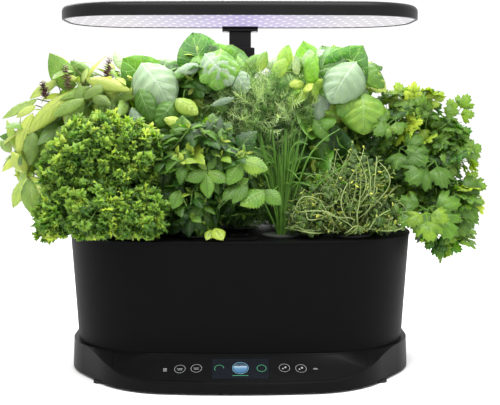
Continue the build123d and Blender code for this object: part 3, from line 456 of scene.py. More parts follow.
def leafFinish(name, dark, bright, young, vein, ribs, gloss, veinDepth, mottled=0.5):
    finish = Finish(name, Specular_IOR_Level=0.3, Subsurface_Weight=0.35, Subsurface_Scale=0.004,
                    Subsurface_Radius=(0.6, 1.0, 0.2), Coat_Roughness=0.3)
    across, along, rest = finish.split(finish.uv())
    side = abs(across - 0.5) * 2
    tone = finish.node("ShaderNodeAttribute", {"attribute_name": "tone"}, "Fac")
    cloud = finish.noise(70, 3)
    shades = [(0.0, [c * 0.6 for c in dark]), (0.5, [c * 0.86 for c in bright]), (1.0, young)]
    blend = finish.ramp((tone + (cloud - 0.5) * mottled).high(0).low(1), shades)
    midrib = 1 - (side / (0.10 - along * 0.05)).low(1)
    comb = ((along - side * 0.22) * ribs).fract()
    sideVein = (1 - (abs(comb - 0.5) * 2 - 0.80).high(0) * 5).low(1)
    veins = midrib.high((1 - sideVein) * (0.8 - side * 0.5))
    finish.set("Base Color", finish.mix(veins * 0.38, blend, vein))
    finish.set("Roughness", gloss + cloud * 0.15 - veins * 0.05)
    finish.set("Coat Weight", 0.02 + tone * 0.10)
    finish.bump(cloud * 0.5 - veins, veinDepth, 0.0012)
    return finish.material


def stemFinish(name, low, high):
    finish = cloudy(name, (140, 3), low, high, (0.45, 0.2), Specular_IOR_Level=0.4)
    finish.bump(finish.noise(900, 2), 0.3, 0.0003)
    return finish.material


def aroundLid(run):             # bends a stem clear of the room that the fill port's lid swings in
    (left, front), (right, back), top = garden["lidBox"]
    spare = garden["lidSpare"]
    path = [(a.lerp(b, step / 4), ra + (rb - ra) * step / 4)
            for (a, ra), (b, rb) in zip(run, run[1:]) for step in range(4)] + [run[-1]]
    bent = []
    for point, radius in path:
        out = [(point.x - left + spare, Vector((-1, 0, 0))), (right + spare - point.x, Vector((1, 0, 0))),
               (back + spare - point.y, Vector((0, 1, 0))), (top + spare - point.z, Vector((0, 0, 1))),
               (point.y - front + spare, Vector((0, -1, 0)))]
        inside = min(reach for reach, way in out) > 0
        step, way = min(out[:4], key=lambda pair: pair[0])
        bent.append((point + way * step if inside else point, radius, inside))
    if not any(inside for point, radius, inside in bent):
        return run
    return [(point, radius) for point, radius, inside in bent]


def growStems(name, runs, material, sides=0):       # round stems along lists of (point, radius)
    data = bpy.data.curves.new(name, "CURVE")
    data.dimensions = "3D"
    data.bevel_depth = 1.0
    data.bevel_resolution = sides
    data.resolution_u = 3
    data.use_fill_caps = True
    for run in map(aroundLid, runs):
        spline = data.splines.new("NURBS")
        spline.points.add(len(run) - 1)
        for point, (place, radius) in zip(spline.points, run):
            point.co = (*place, 1)
            point.radius = radius
        spline.order_u = 3
        spline.use_endpoint_u = True
    stems = bpy.data.objects.new(name, data)
    addToScene(stems)
    pick(stems)
    bpy.ops.object.convert(target="MESH")
    stems = bpy.context.object
    cover(stems, material)
    bpy.ops.object.shade_smooth()
    return stems


def clearOfEverything(points):      # how far a leaf has to rise, or None where it can't stand
    (leftX, lidFront), (rightX, lidBack), lidTop = garden["lidBox"]
    sideMargin, frontMargin = garden["rimMargin"]
    lift = 0.0
    for point in points:
        if abs(point.x) > garden["reach"] or not garden["frontY"] < point.y < garden["backY"]:
            return None
        if leftX < point.x < rightX and lidFront < point.y < lidBack and point.z < lidTop:
            return None
        if point.z > garden["crownTop"]:
            return None
        if abs(point.x) < garden["rimHalf"] + sideMargin and garden["rimFront"] - frontMargin < point.y:
            lift = max(lift, deckTop + garden["leafGap"] - point.z)
    return lift if lift < garden["mostLift"] else None


def turnTo(forward, up):
    forward = forward.normalized()
    side = forward.cross(up)
    if side.length < 1e-4:
        side = forward.cross(Vector((0.3, 0.9, 0.2)))
    side.normalize()
    return Matrix((side, forward, side.cross(forward))).transposed()


def randomWay(chance):
    while True:
        way = Vector((chance.uniform(-1, 1), chance.uniform(-1, 1), chance.uniform(-1, 1)))
        if 0.05 < way.length < 1:
            return way.normalized()


def crownLobes(plant):
    podX, podY = plant["pod"]
    return [(Vector((podX + x * mm, podY + y * mm, deckTop + z * mm)), r * mm)
            for x, y, z, r in plant["lobes"]]


def crownSites(plant, lobes, chance):       # spaced places near a crown's outside, each with its way out
    sites = []
    for attempt in range(14000):
        if len(sites) == plant["heads"]:
            break
        centre, radius = chance.choices(lobes, [r * r for c, r in lobes])[0]
        way = randomWay(chance)
        if way.y > 0 and chance.random() < 0.4:
            way.y = -way.y
        place = centre + way * radius * chance.uniform(*plant["depth"])
        if any((place - c).length < r * plant["depth"][0] for c, r in lobes if c != centre):
            continue
        if place.z < deckTop + 0.006 and abs(place.x) < garden["rimHalf"]:
            continue
        if all((place - other).length > plant["spacing"] for other, w in sites):
            sites.append((place, way))
    return sites


def stemFoot(plant, turn=0.0, reach=0.0, sunk=0.008):
    podX, podY = plant["pod"]
    return Vector((podX + reach * cos(turn), podY + reach * sin(turn), deckTop - sunk))


def mainStems(plant, lobes, chance):
    runs = []
    for number in range(plant["stems"]):
        centre, radius = lobes[number % len(lobes)]
        tip = centre + randomWay(chance) * radius * 0.55
        tip.y = min(tip.y, garden["backY"] - 0.006)
        tip.z = min(max(tip.z, deckTop + 0.03), garden["crownTop"] - 0.01)
        spread = chance.uniform(0, 2 * pi)
        foot = stemFoot(plant, spread, 0.0025)
        knee = foot.lerp(tip, 0.35)
        knee.z = max(foot.lerp(tip, 0.5).z, deckTop + 0.02)
        bend = foot.lerp(tip, 0.7) + randomWay(chance) * 0.006
        bend.z = max(bend.z + 0.01, deckTop + 0.02)
        thick = plant["stemRadius"] * chance.uniform(0.8, 1.1)
        runs.append([(foot, thick), (knee, thick * 0.9), (bend, thick * 0.7), (tip, thick * 0.4)])
    return runs


def stemPoints(runs):
    points = []
    for run in runs:
        for (a, ra), (b, rb) in zip(run, run[1:]):
            points += [a.lerp(b, step / 4) for step in range(4)]
        points.append(run[-1][0])
    return [point for point in points if point.z > deckTop + 0.004]


def stalkTo(root, points, radius, sag=0.1):     # a stalk from the nearest stem to a leaf
    near = min(points, key=lambda p: (p - root).length + (0.02 if p.z > root.z else 0))
    middle = near.lerp(root, 0.5) - Vector((0, 0, sag * (near - root).length))
    middle.z = max(middle.z, deckTop + 0.003)
    return [(near, radius), (middle, radius * 0.9), (root, radius * 0.7)]


def setLeaf(leaves, shape, root, forward, up, size, wide, tone):    # false where it would cut something
    stretch = Matrix.Diagonal((size * wide, size, size * min(wide, 1), 1))
    matrix = Matrix.Translation(root) @ turnTo(forward, up).to_4x4() @ stretch
    lift = clearOfEverything([matrix @ vertex.co for vertex in shape.data.vertices])
    if lift is None:
        return False
    leaf = shape.copy()
    leaf.data = shape.data.copy()
    leaf.data.transform(Matrix.Translation((0, 0, lift)) @ matrix)
    leaf.data.attributes["tone"].data.foreach_set("value", [min(max(tone, 0), 1)] * len(leaf.data.vertices))
    addToScene(leaf)
    leaves.append(leaf)
    return True


def growHead(plant, shapes, place, way, tone, chance):      # one shoot's leaves, tier under tier
    axis = way * plant["outward"] + Vector((0, -0.15, plant["upward"])) + randomWay(chance) * plant["wild"]
    axis.normalize()
    across = axis.cross(randomWay(chance)).normalized()
    size = chance.uniform(*plant["size"])
    leaves = []
    for tier, (count, share, tilt, drop) in enumerate(plant["tiers"]):
        for number in range(count):
            roll = pi * tier / max(count, 2) + 2 * pi * number / count + chance.uniform(-0.3, 0.3)
            out = Matrix.Rotation(roll, 3, axis) @ across
            angle = radians(tilt + chance.uniform(-14, 14))
            forward = axis * cos(angle) + out * sin(angle) - Vector((0, 0, plant["hang"]))
            up = axis * sin(angle) - out * cos(angle) + Vector((0, 0, 0.5))
            up += randomWay(chance) * plant["wild"] * 0.5
            long = size * share * chance.uniform(0.85, 1.1)
            root = place - axis * drop * size + out * 0.02 * size
            shade = tone - 0.12 * tier * plant["fade"] + (0.3 if share < 0.5 else 0)
            shade += chance.gauss(0, plant["mixture"])
            if chance.random() < plant["yellowing"]:
                shade = 1
            setLeaf(leaves, chance.choice(shapes), root, forward, up, long, chance.uniform(0.85, 1.1), shade)
    return leaves


def dressLeaves(leaves, name, material):
    foliage = joinPieces(leaves, name)
    cover(foliage, material)
    return foliage


def growPlant(name, node, plant, shapes, leafMaterial, stemMaterial, heroShape=None, extras=()):
    chance = random.Random(plant["seed"])
    lobes = crownLobes(plant)
    runs = mainStems(plant, lobes, chance)
    points = stemPoints(runs)
    leaves, paintedSheenLeaves, kept = [], [], []
    for *ends, wide, tone in plant.get("heroes", ()):       # large leaves given one by one, from root to tip
        root, tip = Vector(ends[:3]), Vector(ends[3:])
        kept.append(((root + tip) * mm / 2, (tip - root).length * mm))
        root, tip = root * mm, tip * mm
        facing = Vector((chance.uniform(-0.25, 0.25), -1.0, 0.55))
        # a negative tone puts the leaf in the pale green, a painted sheen for leaves lit brightly from above
        group = paintedSheenLeaves if tone < 0 else leaves
        if setLeaf(group, heroShape, root, tip - root, facing, (tip - root).length, wide, abs(tone)):
            runs.append(stalkTo(root, points, plant["stalkRadius"]))
    for place, way in crownSites(plant, lobes, chance):
        if any((place - middle).length < plant["apart"] * long for middle, long in kept):
            continue
        # higher leaves get lighter tones and lower ones darker: partly young growth on top, partly painted
        # light and shade
        height = (place.z - deckTop) / 0.25
        tone = plant["tone"] + (height - 0.4) * plant["rise"] + chance.gauss(0, plant["mixture"])
        head = growHead(plant, shapes, place, way, tone, chance)
        if head:
            leaves += head
            runs.append(stalkTo(place, points, plant["stalkRadius"]))
    for number in range(plant["fillers"]):      # inner leaves with low tones: their darker colour is painted shade
        centre, radius = chance.choices(lobes, [r ** 3 for c, r in lobes])[0]
        place = centre + randomWay(chance) * radius * chance.uniform(0.1, 0.62)
        way = randomWay(chance)
        way.y *= 0.3
        up = Vector((0, -1, 0.3)) + way.cross(Vector((0, 1, 0))) * 0.3
        if setLeaf(leaves, chance.choice(shapes), place, way, up, plant["fillerSize"], 1.3,
                   chance.uniform(0, 0.25)):
            runs.append(stalkTo(place, points, plant["stalkRadius"]))
    parts = [dressLeaves(leaves, name + "Leaves", leafMaterial),
             growStems(name + "Stems", runs, stemMaterial)]
    if paintedSheenLeaves:
        parts.append(dressLeaves(paintedSheenLeaves, name + "PaintedSheen", greens["paleGreen"]))
    whole = joinPieces([*parts, *extras], name)
    settle(whole)
    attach(whole, "root")
    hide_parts(node)
    print(name, "grown:", len(leaves), "leaves,", len(whole.data.polygons), "faces")


basilLook = dict(
    kind="blade", across=4, along=7, width=0.74, shoulder=0.72, fullness=0.72, cup=-0.30, arch=0.05,
    droop=0.28, pucker=0.05, ribs=3.5, sweep=0.15, thickness=0.006,
)
basilShapes = [
    shapeLeaf("basilFlat", basilLook),
    shapeLeaf("basilCupped", basilLook, cup=-0.55, droop=0.45, pucker=0.07),
    shapeLeaf("basilRaised", basilLook, cup=0.18, droop=0.12, arch=0.1),
]
basilHero = shapeLeaf("basilHero", basilLook, across=10, along=18, width=1.0, cup=-0.42, arch=0.12,
                      droop=0.22, pucker=0.085, ribs=5)
thaiLook = dict(
    basilLook, width=0.34, shoulder=0.8, fullness=0.85, cup=-0.25, arch=0.06, droop=0.3, pucker=0.012,
    ribs=4, sweep=0.1,
)
thaiShapes = [
    shapeLeaf("thaiStraight", thaiLook, droop=0.12),
    shapeLeaf("thaiDrooping", thaiLook, droop=0.5),
    shapeLeaf("thaiWide", thaiLook, width=0.46, droop=0.3),
]
thaiHero = shapeLeaf("thaiHero", thaiLook, across=8, along=16, width=1.0, arch=0.3, droop=0.15, cup=-0.5,
                     pucker=0.08, ribs=6)
mintLook = dict(
    kind="blade", across=2, along=11, width=0.60, shoulder=0.78, fullness=0.95, cup=0.16, arch=0.04,
    droop=0.22, sweep=0.1, teeth=0.15, thickness=0.009,
)
mintShapes = [
    shapeLeaf("mintFlat", mintLook),
    shapeLeaf("mintDrooping", mintLook, droop=0.42, cup=-0.2),
]
mintHero = shapeLeaf("mintHero", mintLook, across=8, along=21, width=1.0, teeth=0.10, cup=-0.2, droop=0.2,
                     pucker=0.055, ribs=7)
flatLook = dict(
    kind="fan", across=18, along=2, width=1.0, spread=66, ruffle=0.05, waves=1.1, phase=0.4, cup=0,
    droop=0.18, thickness=0.012,
    rim=[
        0.60, 0.84, 0.78, 0.94, 0.82, 0.62, 0.90, 0.86, 1.04, 0.95, 1.04, 0.86, 0.90, 0.62, 0.82, 0.94,
        0.78, 0.84, 0.60,
    ],
)
curlyLook = dict(
    flatLook, across=12, along=1, spread=95, ruffle=0.22, waves=1.9, droop=0.1, thickness=0.02,
    rim=[0.50, 0.95, 0.62, 0.92, 0.50, 1.0, 0.78, 1.0, 0.50, 0.92, 0.62, 0.95, 0.50],
)
curlyShapes = [
    shapeLeaf("curlyOne", curlyLook),
    shapeLeaf("curlyTwo", curlyLook, phase=2.0, waves=1.7, droop=-0.1),
    shapeLeaf("curlyThree", curlyLook, phase=4.0, waves=2.6, cup=0.3),
]


def turned(angle, axis):        # angle in degrees
    return Matrix.Rotation(radians(angle), 4, axis)


def rod(sides, thick, thin, length, matrix):
    clearSelection()
    bpy.ops.mesh.primitive_cone_add(vertices=sides, radius1=thick, radius2=thin, depth=length,
                                    end_fill_type="NGON")
    bpy.context.object.data.transform(matrix)
    return bpy.context.object


def threeLeaflets(name, look, turns=(0, 62, -62)):      # a flat parsley leaf on its short stalks
    parts = []
    for number, angle in enumerate(turns):
        part = shapeLeaf(f"{name}{number}", look, phase=number * 1.7)
        part.data.transform(turned(angle, "Z") @ Matrix.Translation((0, 0.14, 0))
                            @ Matrix.Scale(0.60 if number == 0 else 0.52, 4))
        if number == 0:
            part.data.transform(Matrix.Translation((0, 0.12, 0)))
        parts.append(part)
    for angle in turns:         # the stalks of the leaflets
        lie = turned(angle, "Z") @ Matrix.Translation((0, 0.15, -0.01)) @ turned(-90, "X")
        parts.append(rod(4, 0.018, 0.012, 0.3, lie))
    return joinPieces(parts, name)


parsleyShapes = [
    threeLeaflets("flatOne", flatLook),
    threeLeaflets("flatTwo", dict(flatLook, droop=0.4, cup=0.15)),
]

# Each green: dark, bright and young colours, vein colour, ribs, gloss, vein depth, mottling
greens = {}
for name, *look in (
    ("genoveseGreen", (0.025, 0.10, 0.010), (0.125, 0.32, 0.030), (0.42, 0.60, 0.07),
     (0.34, 0.55, 0.20), 6, 0.30, 0.7),
    # the pale green is painted sheen: a lighter, greyer copy of the basil green for the leaves that catch
    # the light
    ("paleGreen", (0.13, 0.26, 0.11), (0.27, 0.42, 0.22), (0.48, 0.62, 0.38),
     (0.46, 0.60, 0.40), 6, 0.28, 0.6),
    ("thaiGreen", (0.08, 0.18, 0.04), (0.24, 0.42, 0.07), (0.48, 0.62, 0.09),
     (0.46, 0.60, 0.22), 8, 0.36, 0.8),
    ("mintGreen", (0.014, 0.062, 0.006), (0.115, 0.28, 0.025), (0.34, 0.50, 0.04),
     (0.34, 0.52, 0.16), 8, 0.36, 1.0),
    ("parsleyGreen", (0.022, 0.080, 0.007), (0.080, 0.19, 0.013), (0.34, 0.50, 0.02),
     (0.16, 0.30, 0.05), 5, 0.38, 0.6),
    ("curlyGreen", (0.035, 0.12, 0.009), (0.17, 0.38, 0.03), (0.42, 0.62, 0.04),
     (0.24, 0.46, 0.08), 5, 0.42, 0.4),
    ("thymeGreen", (0.03, 0.07, 0.012), (0.13, 0.23, 0.04), (0.46, 0.52, 0.06),
     (0.22, 0.32, 0.1), 3, 0.45, 0.2),
    ("dillGreen", (0.035, 0.12, 0.02), (0.17, 0.36, 0.08), (0.42, 0.60, 0.22),
     (0.15, 0.3, 0.1), 1, 0.5, 0.1),
    ("flowerPurple", (0.04, 0.015, 0.03), (0.13, 0.045, 0.07), (0.26, 0.13, 0.16),
     (0.18, 0.09, 0.1), 3, 0.5, 0.2),
):
    greens[name] = leafFinish(name, *look)
paleStem = stemFinish("paleStem", (0.14, 0.30, 0.05), (0.28, 0.46, 0.10))
purpleStem = stemFinish("purpleStem", (0.10, 0.06, 0.04), (0.22, 0.25, 0.07))
darkStem = stemFinish("darkStem", (0.05, 0.14, 0.02), (0.14, 0.28, 0.06))
wiryStem = stemFinish("wiryStem", (0.13, 0.20, 0.05), (0.40, 0.48, 0.18))
print("leaf shapes and greens made")


def flowerSpike(foot, tip, chance):     # whorls of small purple bracts up a short stem
    foot, tip = Vector(foot) * mm, Vector(tip) * mm
    axis = (tip - foot).normalized()
    across = axis.cross(Vector((0.3, 1, 0.1))).normalized()
    parts = []
    for whorl in range(9):
        place = foot.lerp(tip, 0.12 + 0.86 * whorl / 8)
        for number in range(5):
            out = Matrix.Rotation(number * 1.2566 + whorl * 0.6, 3, axis) @ across
            forward = out + axis * chance.uniform(0.3, 1.1)
            size = chance.uniform(0.006, 0.010) * (1.15 - 0.06 * whorl)
            setLeaf(parts, thaiShapes[2], place, forward, axis, size, 1.5, chance.uniform(0.1, 0.9))
    bracts = dressLeaves(parts, "bracts", greens["flowerPurple"])
    run = [(foot, 0.0012), (foot.lerp(tip, 0.5), 0.001), (tip, 0.0006)]
    return joinPieces([bracts, growStems("spikeStem", [run], purpleStem)], "spike")


backY, frontY = 0.0395, -0.045
# Each tier of a shoot: its leaves, their size, their tilt from the shoot and how far down they stand
pairs = [(2, 0.35, 22, 0), (2, 0.62, 52, 0.04), (2, 0.9, 78, 0.16), (2, 1.0, 98, 0.36)]
thaiBasil = dict(
    pod=(-0.160, backY), seed=11, apart=0.35, heads=66, spacing=0.021, depth=(0.66, 0.94), stems=16,
    stemRadius=0.0022, stalkRadius=0.0010, size=(0.040, 0.062),
    tiers=[(2, 0.5, 30, 0), (2, 0.85, 66, 0.1), (2, 1.0, 92, 0.26)], outward=1.0, upward=0.55, hang=0.35,
    wild=0.35, fillers=46, fillerSize=0.055, tone=0.55, rise=0.35, mixture=0.26, yellowing=0.05, fade=0.5,
    lobes=[
        (-8, 6, 42, 44), (-58, 8, 62, 46), (-102, 2, 104, 38), (-52, 6, 130, 50), (-4, 8, 104, 46),
        (0, 8, 162, 38), (-58, 8, 176, 34), (-26, 10, 176, 34),
    ],
    heroes=[
        (-208, 20, 347, -266, 0, 293, 0.3, 0.8), (-234, 40, 360, -267, 30, 337, 0.35, 0.7),
        (-257, 30, 336, -300, 20, 312, 0.28, 0.35), (-257, 20, 328, -280, 10, 313, 0.35, 0.95),
        (-260, 15, 318, -278, 5, 267, 0.4, 0.9), (-259, 5, 297, -262, 0, 253, 0.5, 0.3),
        (-268, 10, 243, -284, 0, 270, 0.55, 0.85), (-267, 5, 239, -283, -10, 202, 0.45, 0.6),
        (-264, 0, 237, -253, -20, 192, 0.5, 0.25), (-264, 10, 239, -234, -15, 195, 0.5, 0.8),
        (-288, 15, 269, -304, 25, 285, 0.5, 0.35), (-194, 20, 361, -136, 0, 347, 0.32, 0.85),
        (-166, 10, 355, -195, 0, 336, 0.45, 0.4), (-193, 0, 336, -229, -15, 315, 0.4, 0.45),
        (-185, 5, 339, -159, -10, 329, 0.5, 0.35), (-198, 20, 357, -193, 25, 375, 0.4, 0.7),
        (-224, -60, 192, -228, -80, 175, 0.5, 0.95), (-224, -70, 179, -216, -90, 159, 0.45, 0.85),
    ],
    spikes=[
        ((-216, 25, 345), (-220, 25, 376)), ((-245, 25, 336), (-249, 25, 356)),
        ((-169, 30, 360), (-165, 30, 386)),
    ],
)
genoveseLeft = dict(
    pod=(-0.080, backY), seed=12, apart=0.5, heads=34, spacing=0.028, depth=(0.60, 0.84), stems=12,
    stemRadius=0.0028, stalkRadius=0.0014, size=(0.046, 0.066), tiers=pairs, outward=1.0, upward=0.7,
    hang=0.25, wild=0.3, fillers=40, fillerSize=0.06, tone=0.46, rise=0.35, mixture=0.16, yellowing=0.03,
    fade=0.8,
    lobes=[
        (0, 4, 44, 46), (45, 6, 50, 40), (-12, 10, 118, 46), (34, 8, 118, 46), (-18, 12, 178, 36),
        (38, 8, 196, 36), (8, 10, 176, 34),
    ],
    heroes=[
        (-124, 20, 381, -85, -5, 331, 0.9, -0.5), (-143, 50, 373, -162, 60, 400, 0.6, -0.6),
        (-125, 0, 349, -109, -15, 310, 0.6, 0.25), (-81, -5, 333, -102, -20, 305, 0.85, 0.3),
        (-79, -10, 336, -52, -25, 320, 0.7, 0.8), (-62, -20, 300, -90, -35, 313, 0.55, 0.95),
        (-77, -30, 278, -38, -45, 274, 0.5, 0.45), (-134, -5, 325, -122, -20, 302, 0.5, -0.3),
        (-36, -10, 328, -8, -20, 338, 0.35, -0.3), (-50, 10, 377, -78, 10, 372, 0.6, -0.4),
        (-10, 15, 388, -48, -8, 362, 0.85, 0.45), (-44, 12, 392, -12, -12, 358, 0.9, -0.4),
        (-24, 15, 398, -30, -14, 352, 0.95, 0.5), (-8, 10, 372, 8, -8, 346, 0.8, -0.3),
        (7, 45, 368, -11, 50, 395, 0.6, 0.5), (7, 45, 371, 24, 50, 394, 0.6, 0.35),
    ],
)
genoveseRight = dict(
    genoveseLeft, pod=(0.080, backY), seed=13, apart=0.55, heads=28, spacing=0.030, depth=(0.58, 0.82),
    size=(0.050, 0.074), fillers=36, fillerSize=0.065,
    lobes=[(12, 6, 44, 46), (46, 4, 60, 44), (22, 8, 120, 50), (14, 10, 190, 44), (50, 10, 180, 44)],
    heroes=[
        (145, 10, 382, 111, -20, 337, 0.85, -0.45), (152, 0, 344, 152, -20, 296, 1.1, 0.6),
        (147, 0, 347, 121, -10, 317, 0.75, 0.5), (147, 15, 380, 179, 0, 352, 0.6, 0.35),
        (171, 10, 370, 182, 5, 344, 0.4, 0.98), (107, 15, 352, 95, 5, 308, 0.5, -0.5),
        (92, 0, 310, 110, -10, 285, 0.6, 0.35), (122, 40, 381, 98, 45, 399, 0.6, -0.5),
        (28, 55, 379, 65, 60, 396, 0.5, -0.6), (64, 50, 379, 93, 45, 391, 0.6, 0.5),
        (139, 20, 378, 141, 20, 398, 0.4, 0.6), (20, 46, 370, 32, 38, 396, 0.6, 0.3),
        (52, 38, 372, 60, 28, 403, 0.6, 0.45), (86, 32, 370, 88, 22, 397, 0.6, -0.3),
        (40, 28, 362, 56, 10, 384, 0.6, 0.6), (74, 26, 366, 70, 8, 388, 0.5, -0.2),
    ],
)
italianParsley = dict(
    pod=(0.160, backY), seed=14, apart=0.3, heads=225, spacing=0.0125, depth=(0.62, 1.0), stems=28,
    stemRadius=0.0014, stalkRadius=0.0007, size=(0.026, 0.038), tiers=[(1, 1.0, 72, 0.2)], outward=1.0,
    upward=0.6, hang=0.2, wild=0.45, fillers=26, fillerSize=0.040, tone=0.34, rise=0.2, mixture=0.22,
    yellowing=0, fade=0,
    lobes=[
        (24, 4, 44, 46), (20, 4, 110, 46), (58, -6, 140, 44), (94, -14, 104, 46), (64, -14, 70, 44),
        (100, -42, 40, 40), (92, -38, 2, 30),
    ],
    heroes=[
        (275, 25, 317, 292, 25, 345, 1, 0.35), (281, 20, 312, 312, 10, 283, 1.1, 0.3),
        (251, 10, 319, 268, 0, 291, 1, 0.35), (216, 10, 336, 218, 10, 361, 0.8, 0.85),
        (237, 15, 332, 259, 15, 346, 0.8, 0.72), (261, 0, 287, 290, -10, 260, 1, 0.3),
        (280, -10, 233, 308, -20, 226, 1, 0.4), (264, -20, 224, 292, -35, 184, 1.1, 0.35),
        (292, -20, 212, 300, -25, 191, 0.7, 1), (226, -60, 206, 258, -80, 167, 1.1, 0.45),
        (219, -80, 192, 222, -100, 155, 1, 0.6), (218, -70, 207, 182, -90, 186, 1, 0.35),
        (196, -20, 276, 231, -45, 255, 1, 0.3), (238, -30, 261, 195, -55, 232, 1, 0.35),
        (191, -10, 312, 160, -30, 288, 0.8, 0.5),
    ],
)
curlyParsley = dict(
    pod=(-0.135, frontY), seed=15, apart=0, heads=440, spacing=0.0078, depth=(0.72, 1.0), stems=30,
    stemRadius=0.0012, stalkRadius=0.0006, size=(0.0075, 0.0110),
    tiers=[(1, 0.9, 12, 0), (3, 1.0, 62, 0.35), (3, 0.9, 105, 0.9)], outward=1.0, upward=0.5, hang=0.05,
    wild=0.6, fillers=260, fillerSize=0.017, tone=0.42, rise=0.2, mixture=0.22, yellowing=0.02, fade=1.2,
    lobes=[
        (0, -14, 44, 50), (-50, -14, 48, 52), (-66, -20, 84, 40), (4, -14, 96, 44), (-34, -12, 100, 50),
        (-36, -56, 34, 36), (18, -52, 32, 34), (-76, -42, 26, 34),
    ],
)
mint = dict(
    pod=(-0.050, frontY), seed=16, apart=0.4, heads=74, spacing=0.0165, depth=(0.55, 0.92), stems=16,
    stemRadius=0.0016, stalkRadius=0.0009, size=(0.022, 0.034), tiers=pairs, outward=1.0, upward=0.8,
    hang=0.1, wild=0.3, fillers=60, fillerSize=0.035, tone=0.40, rise=0.3, mixture=0.2, yellowing=0.015,
    fade=1.3,
    lobes=[
        (-4, -14, 40, 44), (-16, -14, 92, 42), (36, -14, 90, 42), (8, -12, 104, 42), (44, -8, 54, 34),
    ],
    heroes=[
        (-38, -90, 251, -65, -100, 244, 0.62, 0.35), (-38, -90, 251, -13, -100, 242, 0.62, 0.5),
        (-40, -92, 248, -37, -104, 222, 0.6, 0.5), (-37, -88, 253, -28, -86, 269, 0.6, 0.35),
        (-39, -88, 253, -49, -90, 265, 0.5, 0.6), (1, -90, 262, -14, -104, 238, 0.65, 0.5),
        (1, -90, 263, 32, -100, 256, 0.7, 0.6), (0, -88, 267, 2, -90, 276, 0.9, 0.95),
        (30, -92, 228, 0, -106, 216, 0.75, 0.55), (28, -92, 230, 47, -104, 215, 0.7, 0.4),
        (-3, -92, 236, -21, -104, 220, 0.6, 0.3), (-26, -92, 218, -30, -102, 201, 0.6, 0.3),
        (-30, -98, 182, -20, -113, 172, 0.8, 0.99), (-33, -96, 184, -39, -110, 175, 0.6, 0.95),
        (-70, -92, 230, -78, -104, 210, 0.7, 0.5), (-65, -88, 251, -74, -92, 265, 0.6, 0.4),
        (-5, -90, 234, 9, -98, 244, 0.6, 0.4), (7, -92, 239, -9, -106, 217, 0.6, 0.35),
    ],
)
spikes = [flowerSpike(foot, tip, random.Random(31)) for foot, tip in thaiBasil["spikes"]]
growPlant("thaiBasil", "thai_basil_plant", thaiBasil, thaiShapes,
          greens["thaiGreen"], purpleStem, thaiHero, spikes)
growPlant("genoveseBasilLeft", "genovese_basil_left_plant", genoveseLeft, basilShapes,
          greens["genoveseGreen"], paleStem, basilHero)
growPlant("genoveseBasilRight", "genovese_basil_right_plant", genoveseRight, basilShapes,
          greens["genoveseGreen"], paleStem, basilHero)
growPlant("italianParsley", "italian_parsley_plant", italianParsley, parsleyShapes,
          greens["parsleyGreen"], paleStem, parsleyShapes[0])
growPlant("curlyParsley", "curly_parsley_plant", curlyParsley, curlyShapes,
          greens["curlyGreen"], paleStem)
growPlant("mint", "mint_plant", mint, mintShapes, greens["mintGreen"], paleStem, mintHero)


def dillSprig(name, chance):        # fine threads off one rib
    threads = []
    for number in range(20):
        along = 0.10 + 0.85 * number / 19
        side = -1 if number % 2 else 1
        length = 0.36 * (1.15 - along) + 0.14
        tilt = side * chance.uniform(25, 60) if number < 19 else 0
        lie = (Matrix.Translation((0, along, 0)) @ turned(-tilt, "Z")
               @ turned(-90 + chance.uniform(-40, 50), "X") @ Matrix.Translation((0, 0, length / 2)))
        threads.append(rod(3, 0.013, 0, length, lie))
    threads.append(rod(3, 0.018, 0.008, 1, Matrix.Translation((0, 0.5, 0)) @ turned(-90, "X")))
    whole = joinPieces(threads, name)
    whole.data.attributes.new("tone", "FLOAT", "POINT")
    return whole


sprigChance = random.Random(5)
dillShapes = [dillSprig("dillOne", sprigChance), dillSprig("dillTwo", sprigChance)]
dill = dict(
    pod=(0.0, backY), seed=17, apart=0, heads=470, spacing=0.0075, depth=(0.30, 1.0), stems=30,
    stemRadius=0.0009, stalkRadius=0.0005, size=(0.034, 0.050),
    tiers=[(2, 1.0, 35, 0.3), (1, 0.9, 70, 0.3)], outward=0.7, upward=0.7, hang=-0.1, wild=0.9,
    fillers=200, fillerSize=0.05, tone=0.44, rise=0.7, mixture=0.24, yellowing=0.01, fade=0,
    lobes=[
        (10, -4, 44, 46), (30, -4, 100, 48), (20, -2, 140, 48), (44, 2, 158, 34), (2, 4, 158, 32),
        (58, -6, 134, 30), (-8, -4, 120, 34), (-36, -10, 22, 26), (40, -12, 24, 28), (8, -12, 16, 24),
    ],
)
growPlant("dill", "dill_plant", dill, dillShapes, greens["dillGreen"], darkStem)

chives = dict(
    pod=(0.050, frontY), blades=76, height=(0.090, 0.142), radius=0.0012, bent=0.34, seed=21,
    arcs=[
        ((-20, -70, 300), (-52, -78, 288)), ((24, -78, 262), (6, -82, 240)),
        ((88, -70, 285), (118, -62, 300)), ((100, -82, 245), (128, -86, 262)),
        ((62, -60, 292), (80, -64, 282)),
    ],
)


